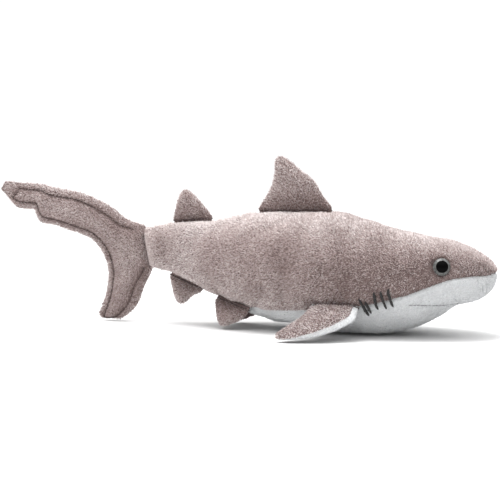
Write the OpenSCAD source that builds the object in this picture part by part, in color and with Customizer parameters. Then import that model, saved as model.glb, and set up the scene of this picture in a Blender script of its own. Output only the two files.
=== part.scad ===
// Plush shark: a stuffed body of two side panels and a pale belly panel, eight stuffed fins
// that fold about their root seams, safety eyes, and embroidered gills and mouth.
// The nose points along +X, the shark's left is +Y, and it rests on its belly at Z = 0.

/* [Body] */
// Length of the stuffed body, from the tail seam to the nose
body_length = 261; // [225:1:315]
// Height of the body at its tallest, without the fins
body_height = 85; // [70:1:102]
// Width of the body at its widest
body_width = 88; // [73:1:106]
// Thickness of the plush cloth of the body
body_cloth = 2.5; // [2:0.1:3]

/* [Back and belly fins] */
// Length of the first dorsal fin's root along the back
first_dorsal_root = 55; // [45:1:66]
// Height of the first dorsal fin above its root seam
first_dorsal_height = 38; // [31:1:46]
// Length of the second dorsal fin's root
second_dorsal_root = 30; // [25:1:36]
// Height of the second dorsal fin
second_dorsal_height = 21.5; // [18:0.5:26]
// Length of the anal fin's root
anal_root = 28.5; // [24:0.5:34]
// Height of the anal fin
anal_height = 17; // [14:0.5:20]
// Length of each pelvic fin's root
pelvic_root = 31; // [26:1:36]
// Height of each pelvic fin
pelvic_height = 16.5; // [14:0.5:18]
// Thickness of the stuffed back and belly fins
fin_thickness = 9; // [7:0.5:11]
// Thickness of the cloth of every fin
fin_cloth = 1.4; // [1:0.1:1.7]

/* [Pectoral fins] */
// Length of each pectoral fin's root along the body
pectoral_root = 35; // [29:1:42]
// Length of each pectoral fin from its root to its tip
pectoral_length = 38; // [32:1:40]
// Thickness of the stuffed pectoral fins
pectoral_thickness = 10; // [8:0.5:12]
// Angle at which the resting pectoral fins hang below level
pectoral_droop = 30; // [26:1:34]

/* [Tail fin] */
// Reach of the tail fin behind the tail seam
tail_reach = 119; // [99:1:143]
// Rise of the upper tip above the middle of the tail seam
tail_rise = 47.5; // [40:0.5:57]
// Thickness of the stuffed tail fin
tail_thickness = 9; // [7:0.5:11]
// Distance of the decorative topstitch from the fin's edge
topstitch_inset = 5; // [4:0.5:6]

/* [Eyes and thread] */
// Diameter of the domed safety eyes
eye_diameter = 12; // [10:0.5:14.4]
// Diameter of the black pupil
pupil_diameter = 8.2; // [6.8:0.2:9.8]
// Diameter of the shank behind each eye
shank_diameter = 3.2; // [2.6:0.1:4]
// Diameter of the embroidery thread of the gills
gill_thread = 1.4; // [1:0.1:1.8]
// Diameter of the other threads
fine_thread = 0.9; // [0.7:0.1:1.1]
// Diameter of the stitched seam that each fin folds about
root_seam = 2; // [1.6:0.1:2.4]

/* [Hidden] */

grey = "#9b8b88";
pale = "#c6c9cb";
wadding = "#f2f0ea";
black = "#151515";
ring_grey = "#b9bdbb";

fill_gap = 0.8;          // filling stays this far inside the cloth
fin_gap = 0.5;           // the same inside a fin
seam_clearance = 0.35;   // between a fin's sewn edge and the seam that it folds about
root_lift = 0.5;         // how far a root seam's middle stands above the cloth
fin_allowance = 2;       // width of the flat sewn rim inside a fin
seat_clearance = 0.1;    // round an eye's rim, in the dip of the cloth
shank_clearance = 0.15;  // round its shank
washer_room = 0.5;       // round its washer, in the filling
tail_seam_lean = 0.18;   // slope of the tail seam away from upright
nose_height = 45 / 85 * body_height;

nose_x = (body_length + tail_reach) / 2;
seam_x = nose_x - body_length;

// ---------- smooth curves through a table of stations ----------

function row_of(t, u, i = 0) = i >= len(t) - 2 || u < t[i + 1][0] ? i : row_of(t, u, i + 1);
function rise(t, c, i) = (t[i + 1][c] - t[i][c]) / (t[i + 1][0] - t[i][0]);
// Slope at a row that never lets the curve overshoot its rows
function slope(t, c, i) = let (a = rise(t, c, max(i - 1, 0)), b = rise(t, c, min(i, len(t) - 2)))
    a * b <= 0 ? 0 : 2 * a * b / (a + b);
function smooth(t, c, u) =
    let (i = row_of(t, u), d = t[i + 1][0] - t[i][0], s = (u - t[i][0]) / d)
    (2 * s ^ 3 - 3 * s ^ 2 + 1) * t[i][c] + (s ^ 3 - 2 * s ^ 2 + s) * d * slope(t, c, i)
    + (3 * s ^ 2 - 2 * s ^ 3) * t[i + 1][c] + (s ^ 3 - s ^ 2) * d * slope(t, c, i + 1);
function lerp(a, b, s) = a + (b - a) * s;
function unit(v) = v / norm(v);

// ---------- body surface ----------

// Stations from tail seam to nose: place along the body, then the top, the bottom and
// half the width as shares of the body's height and width
stations = [
    [0.00, 0.818, 0.471, 0.125],
    [0.09, 0.874, 0.412, 0.165],
    [0.20, 0.908, 0.270, 0.262],
    [0.33, 0.982, 0.104, 0.386],
    [0.45, 0.996, 0.020, 0.470],
    [0.55, 0.998, -0.020, 0.500],
    [0.66, 0.924, -0.018, 0.500],
    [0.77, 0.842, 0.042, 0.465],
    [0.87, 0.798, 0.172, 0.398],
    [0.91, 0.758, 0.232, 0.364],
    [1.00, 0.672, 0.205, 0.290]];

// Angle from the top of the body down to the seam between side and belly panels
seam_angles = [
    [0.24, 180], [0.26, 170], [0.345, 147], [0.50, 126.5], [0.66, 114], [0.75, 105.5],
    [0.82, 100], [0.91, 90.3], [0.94, 85], [0.97, 81], [1, 83]
];

nose_start = 0.905;      // where the nose begins to round off
tail_round = 0.05;       // how much of the body tapers into the tail seam
section_power = 0.94;    // below 1 the sections are a little fuller than an ellipse

function nose_factor(u) = u < nose_start ? 1
    : sqrt(max(0, 1 - ((u - nose_start) / (1 - nose_start)) ^ 2));
function tail_factor(u) = u > tail_round ? 1 : sqrt(max(0, 1 - (1 - u / tail_round) ^ 2));
function top_z(u, inset) =
    lerp(nose_height, smooth(stations, 1, u) * body_height - inset, nose_factor(u));
function bottom_z(u, inset) =
    lerp(nose_height, smooth(stations, 2, u) * body_height + inset, nose_factor(u));
function half_width(u, inset) =
    (smooth(stations, 3, u) * body_width - inset) * nose_factor(u) * tail_factor(u);
function seam_angle(u) = u < seam_angles[0][0] ? 180 : smooth(seam_angles, 1, u);
function fuller(x) = sign(x) * abs(x) ^ section_power;

// Point on the right side of the body at place u and angle a from the top,
// on a surface that lies inset below the outside
function body_point(u, a, inset = 0) =
    let (top = top_z(u, inset), bottom = bottom_z(u, inset),
         z = (top + bottom) / 2 + (top - bottom) / 2 * fuller(cos(a)),
         lean = (stock_z - z) * tail_seam_lean * max(0, 1 - u / 0.12) ^ 2)
    [lerp(seam_x + inset, nose_x - inset, u) + lean, -half_width(u, inset) * fuller(sin(a)), z];
stock_z = (stations[0][1] + stations[0][2]) / 2 * body_height;

function body_normal(u, a) =
    let (d = 0.004, e = 0.5)
    unit(cross(body_point(u, a + e) - body_point(u, a - e),
               body_point(min(u + d, 1), a) - body_point(u - d, a)));

// Places of the rings of cloth: even along the body, closer together round the nose
body_rings = [
    for (i = [0:4]) tail_round * (i / 4) ^ 2,
    for (i = [1:16]) lerp(tail_round, nose_start, i / 16),
    for (i = [1:6]) lerp(nose_start, 1, sin(15 * i))];

// ---------- sheets of cloth, pillows and threads ----------

function quad(a, b, c, d) = [[a, b, c], [a, c, d]];

// Closed solid between an outer and an inner grid of points, each given row by row. Each
// cell is split so that no triangle joins a corner's three border points, which can lie in
// one plane with the other grid's. Flip it when the rows run the other way round.
module cloth(outer, inner, flip = false) {
    rows = len(outer) - 1;
    cols = len(outer[0]) - 1;
    points = concat([for (r = outer) each r], [for (r = inner) each r]);
    half = (rows + 1) * (cols + 1);
    faces = [
        for (i = [0:rows - 1], j = [0:cols - 1])
            let (a = i * (cols + 1) + j, b = a + cols + 1, c = half + a, d = half + b)
            each (i < rows / 2) == (j < cols / 2)
                ? concat(quad(a, b, b + 1, a + 1), quad(c, c + 1, d + 1, d))
                : concat(quad(b, b + 1, a + 1, a), quad(c + 1, d + 1, d, c)),
        for (i = [0:rows - 1])
            let (a = i * (cols + 1), b = a + cols + 1, c = a + cols, d = b + cols)
            each concat(quad(a, half + a, half + b, b), quad(c, d, half + d, half + c)),
        for (j = [0:cols - 1])
            let (a = j, b = rows * (cols + 1) + j)
            each concat(quad(a, a + 1, half + a + 1, half + a),
                        quad(b, half + b, half + b + 1, b + 1))];
    polyhedron(points, [for (f = faces) flip ? [f[0], f[2], f[1]] : f]);
}

// Panel of body cloth from angle first(u) to angle last(u)
module body_panel(rings, first, last, cols) {
    cloth([for (u = rings) [for (j = [0:cols]) body_point(u, lerp(first(u), last(u), j / cols))]],
          [for (u = rings) [for (j = [0:cols])
              body_point(u, lerp(first(u), last(u), j / cols), body_cloth)]]);
}

// Round thread along a path; up is roughly at right angles to it
module thread(path, diameter, closed = false, up = [0, 1, 0]) {
    sides = 6;
    n = len(path);
    function before(i) = closed ? path[(i + n - 1) % n] : path[max(i - 1, 0)];
    function after(i) = closed ? path[(i + 1) % n] : path[min(i + 1, n - 1)];
    points = [for (i = [0:n - 1])
        let (t = unit(after(i) - before(i)), s = unit(cross(t, up)), w = cross(s, t))
        for (k = [0:sides - 1])
            path[i] + diameter / 2 * (cos(360 * k / sides) * s + sin(360 * k / sides) * w)];
    spans = closed ? n : n - 1;
    polyhedron(points, concat(
        [for (i = [0:spans - 1], k = [0:sides - 1])
            let (a = i * sides, b = (i + 1) % n * sides, l = (k + 1) % sides)
            each quad(a + k, b + k, b + l, a + l)],
        closed ? [] : [[for (k = [0:sides - 1]) k], [for (k = [sides - 1:-1:0]) (n - 1) * sides + k]]));
}

// True round bar between two points
module bar(a, b, diameter) {
    d = b - a;
    translate(a)
        rotate([0, acos(d[2] / norm(d)), atan2(d[1], d[0])])
            cylinder(h = norm(d), d = diameter, $fn = 32);
}

// ---------- fins ----------

// A fin is [frame, outline, length, start rounding, end rounding, thickness]. Its frame is
// the fold axis's rear end and the directions along the root, outwards and across.
// An outline row is a place from start to end, then the rear and the front edge there,
// each as a distance along the root and a distance outwards.

// Frame of a root sewn to the body from place u0 and angle a0 to place u1 and angle a1,
// with the root's length as its last value
function frame_on(u0, a0, u1, a1, out) =
    let (p = body_point(u0, a0), q = body_point(u1, a1), along = unit(q - p),
         o = unit(out - (out * along) * along),
         swell = max([for (s = [0:0.125:1])
             (body_point(lerp(u0, u1, s), lerp(a0, a1, s)) - lerp(p, q, s)) * o]))
    [p + (swell + root_lift) * o, along, o, cross(o, along), norm(q - p)];

function simple_outline(rows, root, height) =
    let (foot = root_seam / 2 + seam_clearance)
    [for (r = rows) [r[0], r[1] * root, lerp(foot, height, r[0]), r[2] * root, lerp(foot, height, r[0])]];

function rounding(u, start, end) =
    (u < start ? sqrt(max(0, 1 - (1 - u / start) ^ 2)) : 1)
    * (u > 1 - end ? sqrt(max(0, 1 - (1 - (1 - u) / end) ^ 2)) : 1);

function fin_place(fin, u, inset) = (inset + u * (fin[2] - 2 * inset)) / fin[2];

// Rear and front edge of a fin at place u, drawn in by inset
function fin_edges(fin, u, inset) =
    let (w = fin_place(fin, u, inset),
         rear = [smooth(fin[1], 1, w), smooth(fin[1], 2, w)],
         front = [smooth(fin[1], 3, w), smooth(fin[1], 4, w)],
         middle = (rear + front) / 2,
         half = (front - rear) / 2 * rounding(w, fin[3], fin[4]),
         keep = norm(half) > 2 * inset ? 1 - inset / norm(half) : 0.5)
    [middle - half * keep, middle + half * keep];

function bulge(s) = max(0, 1 - abs(2 * s - 1) ^ 2.6) ^ 0.75;

// Point of a fin at place u from start to end and v from rear to front edge
function fin_point(fin, u, v, inset, side, thinner) =
    let (e = fin_edges(fin, u, inset), p = lerp(e[0], e[1], v), f = fin[0])
    f[0] + p[0] * f[1] + p[1] * f[2]
    + side * (fin[5] / 2 - thinner) * bulge(u) * bulge(v) * f[3];

function even(n) = [for (i = [0:n]) i / n];
function fin_grid(fin, places, cols, inset, side, thinner) =
    [for (u = places) [for (j = [0:cols])
        fin_point(fin, u, (1 - cos(180 * j / cols)) / 2, inset, side, thinner)]];

// One cloth face of a fin, on the side that the frame's across direction points to, or -1
module fin_panel(fin, side, places = even(7), cols = 7) {
    cloth(fin_grid(fin, places, cols, 0, side, 0),
          fin_grid(fin, places, cols, fin_allowance, side, fin_cloth), side > 0);
}

module fin_fill(fin, places = even(5), cols = 5) {
    inset = fin_allowance + fin_gap;
    cloth(fin_grid(fin, places, cols, inset, -1, fin_cloth + fin_gap),
          fin_grid(fin, places, cols, inset, 1, fin_cloth + fin_gap));
}

module root_seam_bar(fin) {
    bar(fin[0][0], fin[0][0] + fin[0][4] * fin[0][1], root_seam);
}

// Each fin's place is where its root's rear end lies along the body
first_dorsal_place = 0.336;
first_dorsal_front = first_dorsal_place + first_dorsal_root / body_length;
first_dorsal_outline = [
    [0, 0, 1], [0.25, 0.115, 0.87], [0.5, 0.2, 0.77], [0.75, 0.23, 0.56], [1, 0.23, 0.38]];
first_dorsal = let (f = frame_on(first_dorsal_place, 0, first_dorsal_front, 0, [0, 0, 1]))
    [f, simple_outline(first_dorsal_outline, f[4], first_dorsal_height),
     first_dorsal_height, 0, 0.16, fin_thickness];

second_dorsal_place = 0.085;
second_dorsal_front = second_dorsal_place + second_dorsal_root / body_length;
second_dorsal_outline = [[0, 0, 1], [0.5, 0.1, 0.76], [1, 0.2, 0.42]];
second_dorsal = let (f = frame_on(second_dorsal_place, 0, second_dorsal_front, 0, [0, 0, 1]))
    [f, simple_outline(second_dorsal_outline, f[4], second_dorsal_height),
     second_dorsal_height, 0, 0.28, fin_thickness];

anal_place = 0.072;
anal_front = anal_place + 0.93 * anal_root / body_length;
anal_outline = [[0, 0, 1], [0.55, 0.22, 0.74], [1, 0.4, 0.66]];
anal = let (f = frame_on(anal_place, 180, anal_front, 180, [0, 0, -1]))
    [f, simple_outline(anal_outline, f[4], anal_height), anal_height, 0, 0.32, fin_thickness];

pelvic_place = 0.226;
pelvic_front = pelvic_place + 0.91 * pelvic_root / body_length;
pelvic_splay = 27;       // how far the pelvic fins stand out from upright
pelvic_out = [0, -sin(pelvic_splay), -cos(pelvic_splay)];
pelvic_outline = [[0, 0, 1], [0.4, 0.14, 0.89], [0.75, 0.29, 0.69], [1, 0.4, 0.6]];
pelvic = let (f = frame_on(pelvic_place, 161, pelvic_front, 147, pelvic_out))
    [f, simple_outline(pelvic_outline, f[4], pelvic_height), pelvic_height, 0, 0.3, fin_thickness];

// The pectoral fins keep their front end just behind the gills
pectoral_front = 0.665;
pectoral_place = pectoral_front - pectoral_root / body_length;
pectoral_out = [0, -cos(pectoral_droop), -sin(pectoral_droop)];
pectoral_outline = [
    [0, 0, 1], [0.27, -0.06, 1.02], [0.5, -0.2, 0.86], [0.7, -0.33, 0.6], [0.87, -0.43, 0.26],
    [1, -0.46, -0.12]];
pectoral = let (f = frame_on(pectoral_place, 117, pectoral_front, 113.5, pectoral_out))
    [f, simple_outline(pectoral_outline, f[4], pectoral_length),
     pectoral_length, 0, 0.14, pectoral_thickness];

// The tail fin's fold axis is the body's rear edge
tail_bottom = body_point(0, 180);
tail_top = body_point(0, 0);
tail_axis = unit(tail_top - tail_bottom);
tail_back = unit([-1, 0, 0] + tail_axis[0] * tail_axis);
tail_foot = tail_bottom + root_lift * tail_back;
tail_root = norm(tail_top - tail_bottom);
floor_gap = 0.5;
tail_drop = stock_z - floor_gap;
tail_edge = root_seam / 2 + seam_clearance;

// Outline of the tail fin from lower to upper tip, as shares of the reach behind the seam
// and of the drop or rise from the middle of the seam; the root rows follow the seam
function behind(x) = seam_x + x * tail_reach;
function beside(z) = stock_z + z * (z < 0 ? tail_drop : tail_rise);
function tail_row(u, rear_x, rear_z, front_x, front_z) =
    [u, behind(rear_x), beside(rear_z), behind(front_x), beside(front_z)];
function root_row(u, rear_x, rear_z, s) =
    let (p = tail_foot + s * tail_root * tail_axis + tail_edge * tail_back)
    [u, behind(rear_x), beside(rear_z), p[0], p[2]];
tail_outline = [
    tail_row(0.00, -0.315, -0.985, -0.265, -1.00),
    tail_row(0.06, -0.325, -0.920, -0.185, -0.97),
    tail_row(0.12, -0.302, -0.800, -0.125, -0.88),
    tail_row(0.19, -0.277, -0.650, -0.070, -0.74),
    tail_row(0.27, -0.262, -0.500, -0.038, -0.54),
    root_row(0.35, -0.255, -0.370, 0.02),
    root_row(0.43, -0.262, -0.260, 0.50),
    root_row(0.51, -0.285, -0.120, 0.98),
    tail_row(0.58, -0.330, 0.020, -0.120, 0.43),
    tail_row(0.64, -0.400, 0.150, -0.205, 0.58),
    tail_row(0.71, -0.525, 0.242, -0.320, 0.73),
    tail_row(0.78, -0.640, 0.320, -0.450, 0.845),
    tail_row(0.83, -0.715, 0.345, -0.575, 0.895),
    tail_row(0.86, -0.745, 0.440, -0.645, 0.930),
    tail_row(0.89, -0.762, 0.550, -0.700, 0.955),
    tail_row(0.95, -0.870, 0.565, -0.830, 0.980),
    tail_row(1.00, -1.000, 0.890, -0.965, 1.000)];
tail_path = 165 / 119 * tail_reach;
tail_fin = [[[0, 0, 0], [1, 0, 0], [0, 0, 1], [0, 1, 0]], tail_outline, tail_path, 0.1, 0, tail_thickness];
// Two rings of cloth to each row of the outline, so that every corner has its own
tail_places = [for (i = [0:0.5:len(tail_outline) - 1])
    lerp(tail_outline[floor(i)][0], tail_outline[ceil(i)][0], 0.5)];

module tail_seam_bar() {
    bar(tail_foot, tail_foot + tail_root * tail_axis, root_seam);
}

// ---------- body pieces ----------

module side_panel() {
    color(grey) difference() {
        body_panel(body_rings, function(u) 0, function(u) seam_angle(u), 9);
        eye_frame() {
            translate([0, 0, -eye_sink])
                cylinder(h = eye_diameter, d = eye_diameter + 2 * seat_clearance, $fn = 48);
            translate([0, 0, -eye_shank])
                cylinder(h = eye_shank, d = shank_diameter + 2 * shank_clearance, $fn = 32);
        }
    }
}

module belly_panel() {
    start = seam_angles[0][0];
    rings = [for (u = body_rings) if (u > start + 0.02) u];
    color(pale) difference() {
        body_panel(concat([start], rings), function(u) seam_angle(u), function(u) 360 - seam_angle(u), 10);
        translate([0, 0, -body_height / 2])
            cube([2 * nose_x, body_width, body_height], center = true);
    }
}

module body_fill() {
    inset = body_cloth + fill_gap;
    rings = [0.02, 0.05, 0.11, 0.18, 0.25, 0.33, 0.42, 0.51, 0.6, 0.68, 0.75, 0.81, 0.85, 0.88, 0.9,
             0.92, 0.945, 0.97, 0.99];
    sides = 16;
    points = [for (u = rings, k = [0:sides - 1]) body_point(u, 360 * k / sides, inset)];
    n = len(rings);
    color(wadding) difference() {
        polyhedron(points, concat(
            [for (i = [0:n - 2], k = [0:sides - 1])
                let (a = i * sides, b = a + sides, l = (k + 1) % sides)
                each quad(a + k, b + k, b + l, a + l)],
            [[for (k = [0:sides - 1]) k], [for (k = [sides - 1:-1:0]) (n - 1) * sides + k]]));
        for (side = [0, 1])
            mirror([0, side, 0]) eye_frame() translate([0, 0, -eye_shank - washer_room])
                cylinder(h = eye_shank, d = washer_diameter + 2 * washer_room, $fn = 32);
    }
}

// ---------- eyes ----------

eye_place = 0.877;
eye_angle = 70;
eye_yaw = 20;            // how far the eyes turn forward
eye_pitch = 11;          // and up
eye_sink = 0.6;          // the cloth dips this far under the eye's back
eye_bulge = 3.4;         // height of the dome
eye_shank = 9;           // the shank ends this far under the cloth's surface
joined = 0.01;           // overlap of the two shapes that make one piece
washer_diameter = 10;
washer_thickness = 1.5;
washer_depth = body_cloth + 3.2;

module eye_frame() {
    translate(body_point(eye_place, eye_angle))
        rotate([0, 0, eye_yaw - 90])
            rotate([0, 90 - eye_pitch, 0]) children();
}

// Height of the dome above its back at a distance from the eye's axis
eye_ball = ((eye_diameter / 2) ^ 2 + eye_bulge ^ 2) / (2 * eye_bulge);
function dome_height(r) = eye_bulge - eye_ball + sqrt(max(0, eye_ball ^ 2 - r ^ 2));
function dome_arc(r0, r1) = [for (i = [0:6]) let (r = lerp(r0, r1, i / 6)) [r, dome_height(r)]];
pupil_height = dome_height(pupil_diameter / 2);

module eye() {
    color(ring_grey) eye_frame() translate([0, 0, -eye_sink]) {
        rotate_extrude($fn = 48)
            polygon(concat([[0, 0]], dome_arc(eye_diameter / 2, pupil_diameter / 2), [[0, pupil_height]]));
        translate([0, 0, eye_sink - eye_shank])
            cylinder(h = eye_shank - eye_sink + joined, d = shank_diameter, $fn = 32);
    }
}

module eye_pupil() {
    color(black) eye_frame() translate([0, 0, -eye_sink])
        rotate_extrude($fn = 48)
            polygon(concat([[0, pupil_height]], dome_arc(pupil_diameter / 2, 0)));
}

module eye_washer() {
    color("white") eye_frame() translate([0, 0, -washer_depth - washer_thickness])
        difference() {
            cylinder(h = washer_thickness, d = washer_diameter, $fn = 48);
            translate([0, 0, -washer_thickness])
                cylinder(h = 3 * washer_thickness, d = shank_diameter, $fn = 32);
        }
}

// ---------- stitches ----------

// Each gill: place along the body and angle at its upper end, then at its lower end
gills = [
    [0.742, 93.5, 0.754, 114.2], [0.723, 95.8, 0.737, 116.2], [0.706, 95.8, 0.713, 116.2],
    [0.684, 107.8, 0.697, 119.5], [0.667, 103.5, 0.690, 124]
];

// Where the middle of a thread runs when it is sewn half into the cloth
function on_cloth(u, a, diameter) = body_point(u, a) + diameter / 4 * body_normal(u, a);

module gill_stitches() {
    color(black) for (g = gills)
        thread([for (s = [0:0.25:1]) on_cloth(lerp(g[0], g[2], s), lerp(g[1], g[3], s), gill_thread)],
               gill_thread, up = [0, 1, 0.3]);
}

module mouth_stitch() {
    corner = [0.79, 117];
    front = 0.915;
    half = [for (s = [0:0.125:1]) [lerp(corner[0], front, sin(90 * s)), lerp(corner[1], 180, s ^ 1.3)]];
    right = [for (p = half) on_cloth(p[0], p[1], fine_thread)];
    left = [for (i = [len(right) - 2:-1:0]) [right[i][0], -right[i][1], right[i][2]]];
    color(pale) thread(concat(right, left), fine_thread, up = [1, 0, 0.2]);
}

module closing_stitch() {
    color(pale) mirror([0, 1, 0])
        thread([for (u = [0.36:0.03:0.48]) on_cloth(u, seam_angle(u), fine_thread)],
               fine_thread, up = [0, 0, 1]);
}

// Loop of thread on one face of the tail fin, all the way round inside its edge
module tail_fin_topstitch(side) {
    // A point on the face, inset from the rear edge (v = 0) or the front edge (v = 1)
    function on_face(u, v) =
        let (w = fin_place(tail_fin, u, topstitch_inset), p = fin_edges(tail_fin, u, topstitch_inset)[v],
             edges = fin_edges(tail_fin, w, 0), share = norm(p - edges[0]) / norm(edges[1] - edges[0]))
        [p[0], side * (tail_thickness / 2 * bulge(w) * bulge(share) + fine_thread / 6), p[1]];
    last = len(tail_places) - 1;
    color(grey) thread(concat([for (u = tail_places) on_face(u, 0)],
                              [for (i = [last:-1:0]) on_face(tail_places[i], 1)]),
                       fine_thread, closed = true);
}

// ---------- assembly ----------

module mirrored() { mirror([0, 1, 0]) children(); }

side_panel();  // side_panel_right
mirrored() side_panel();  // side_panel_left
belly_panel();
body_fill();
eye();  // eye_right
mirrored() eye();  // eye_left
eye_pupil();  // eye_pupil_right
mirrored() eye_pupil();  // eye_pupil_left
eye_washer();  // eye_washer_right
mirrored() eye_washer();  // eye_washer_left
gill_stitches();  // gill_stitches_right
mirrored() gill_stitches();  // gill_stitches_left
mouth_stitch();
closing_stitch();
color(grey) root_seam_bar(first_dorsal);  // first_dorsal_root_seam
color(grey) root_seam_bar(second_dorsal);  // second_dorsal_root_seam
color(grey) root_seam_bar(anal);  // anal_root_seam
color(grey) root_seam_bar(pelvic);  // pelvic_root_seam_right
mirrored() color(grey) root_seam_bar(pelvic);  // pelvic_root_seam_left
color(grey) root_seam_bar(pectoral);  // pectoral_root_seam_right
mirrored() color(grey) root_seam_bar(pectoral);  // pectoral_root_seam_left
color(grey) tail_seam_bar();  // tail_root_seam
color(grey) fin_panel(first_dorsal, -1);  // first_dorsal_panel_right
color(grey) fin_panel(first_dorsal, 1);  // first_dorsal_panel_left
color(wadding) fin_fill(first_dorsal);  // first_dorsal_fill
color(grey) fin_panel(second_dorsal, -1);  // second_dorsal_panel_right
color(grey) fin_panel(second_dorsal, 1);  // second_dorsal_panel_left
color(wadding) fin_fill(second_dorsal);  // second_dorsal_fill
color(grey) fin_panel(anal, 1);  // anal_panel_right
color(grey) fin_panel(anal, -1);  // anal_panel_left
color(wadding) fin_fill(anal);  // anal_fill
color(grey) fin_panel(pelvic, 1);  // pelvic_outer_panel_right
color(grey) fin_panel(pelvic, -1);  // pelvic_inner_panel_right
color(wadding) fin_fill(pelvic);  // pelvic_fill_right
mirrored() color(grey) fin_panel(pelvic, 1);  // pelvic_outer_panel_left
mirrored() color(grey) fin_panel(pelvic, -1);  // pelvic_inner_panel_left
mirrored() color(wadding) fin_fill(pelvic);  // pelvic_fill_left
color(grey) fin_panel(pectoral, 1);  // pectoral_top_panel_right
color(pale) fin_panel(pectoral, -1);  // pectoral_under_panel_right
color(wadding) fin_fill(pectoral);  // pectoral_fill_right
mirrored() color(grey) fin_panel(pectoral, 1);  // pectoral_top_panel_left
mirrored() color(pale) fin_panel(pectoral, -1);  // pectoral_under_panel_left
mirrored() color(wadding) fin_fill(pectoral);  // pectoral_fill_left
color(grey) fin_panel(tail_fin, -1, tail_places);  // tail_fin_panel_right
color(grey) fin_panel(tail_fin, 1, tail_places);  // tail_fin_panel_left
color(wadding) fin_fill(tail_fin, tail_places, 4);  // tail_fin_fill
tail_fin_topstitch(-1);  // tail_fin_topstitch_right
tail_fin_topstitch(1);  // tail_fin_topstitch_left
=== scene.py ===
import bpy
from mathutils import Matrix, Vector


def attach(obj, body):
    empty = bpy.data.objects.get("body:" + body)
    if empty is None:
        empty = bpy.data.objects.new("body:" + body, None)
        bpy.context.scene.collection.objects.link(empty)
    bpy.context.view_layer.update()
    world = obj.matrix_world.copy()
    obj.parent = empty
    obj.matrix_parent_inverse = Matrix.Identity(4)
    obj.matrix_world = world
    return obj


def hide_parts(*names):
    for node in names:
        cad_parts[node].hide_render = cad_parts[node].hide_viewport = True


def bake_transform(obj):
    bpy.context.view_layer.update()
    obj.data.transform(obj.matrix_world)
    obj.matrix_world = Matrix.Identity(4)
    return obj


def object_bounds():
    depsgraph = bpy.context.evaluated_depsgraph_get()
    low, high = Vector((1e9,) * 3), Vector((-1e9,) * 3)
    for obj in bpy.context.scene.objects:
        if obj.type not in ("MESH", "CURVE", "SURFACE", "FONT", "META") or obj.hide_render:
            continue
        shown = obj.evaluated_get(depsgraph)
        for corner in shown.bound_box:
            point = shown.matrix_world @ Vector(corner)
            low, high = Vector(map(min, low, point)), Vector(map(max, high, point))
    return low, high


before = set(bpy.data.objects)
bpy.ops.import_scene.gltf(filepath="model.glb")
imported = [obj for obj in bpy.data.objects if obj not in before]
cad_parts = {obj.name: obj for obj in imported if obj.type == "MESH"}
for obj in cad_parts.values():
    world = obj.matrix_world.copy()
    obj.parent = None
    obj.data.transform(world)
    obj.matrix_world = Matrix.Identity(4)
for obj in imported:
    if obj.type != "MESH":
        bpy.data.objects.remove(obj)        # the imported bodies, nodes and joints, at rest
cadBox = [list(corner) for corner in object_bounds()]

import math
import bmesh
import bpy
import numpy as np
from mathutils import Matrix, Vector, noise
from mathutils.bvhtree import BVHTree

mm = 0.001
scene = bpy.context.scene
scene.view_settings.view_transform = "Standard"
scene.view_settings.look = "None"

# from three quarters towards the nose, a little above level
view = {"lens": 119.8, "sensor": 36, "distance": 1.2, "turn": 19, "rise": 5, "aim": (0.0099, 0, 0.0552)}


def aimed(name, data, place, forward):      # a camera or a lamp at place that looks along forward
    made = bpy.data.objects.new(name, data)
    made.location = place
    made.rotation_mode = "QUATERNION"
    made.rotation_quaternion = forward.to_track_quat("-Z", "Y")
    scene.collection.objects.link(made)
    return made


def placeCamera():
    turn, rise = math.radians(view["turn"]), math.radians(view["rise"])
    back = Vector((math.sin(turn) * math.cos(rise), -math.cos(turn) * math.cos(rise), math.sin(rise)))
    data = bpy.data.cameras.new("camera")
    data.lens, data.sensor_width = view["lens"], view["sensor"]
    scene.camera = aimed("camera", data, Vector(view["aim"]) + back * view["distance"], -back)


placeCamera()
print("camera placed")

# the shape of the stuffed body, in millimetres, as the frame has it
shape = {
    "length": 261, "height": 85, "width": 88,     # tail seam to nose, and at the fullest place
    "noseHeight": 45 / 85, "stockHeight": 0.6445,      # shares of the height
    "tailReach": 119, "tailRise": 47.5, "tailDrop": 0.3,
    "noseStart": 0.905, "tailRound": 0.05, "fullness": 0.94, "seamLean": 0.18,
    "pile": 1.1,       # the cloth's back lies this far under the frame's surface, to leave room for the pile
    "tuck": 3.5,       # a fin's cloth runs this far into the body, past the fold
}
noseX = cadBox[1][0] / mm
seamX = noseX - shape["length"]
noseHeight = shape["noseHeight"] * shape["height"]
stockHeight = shape["stockHeight"] * shape["height"]      # middle of the tail seam

# place along the body, top and bottom as shares of the height, half the width as a share of the width
stations = [
    (0.00, 0.834, 0.471, 0.125), (0.09, 0.882, 0.412, 0.165), (0.20, 0.908, 0.270, 0.262),
    (0.33, 0.982, 0.104, 0.386), (0.45, 0.996, 0.020, 0.470), (0.55, 0.998, -0.020, 0.500),
    (0.66, 0.918, -0.018, 0.500), (0.77, 0.834, 0.046, 0.465), (0.87, 0.786, 0.186, 0.398),
    (0.91, 0.745, 0.252, 0.364), (1.00, 0.660, 0.270, 0.290)]
# place along the body and the angle from the top down to the seam between grey and pale cloth
seamAngles = [
    (0.24, 180), (0.26, 170), (0.345, 147), (0.50, 126.5), (0.66, 114), (0.75, 105.5),
    (0.82, 100), (0.91, 90.3), (0.94, 85), (0.97, 81), (1.00, 83)]


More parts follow.
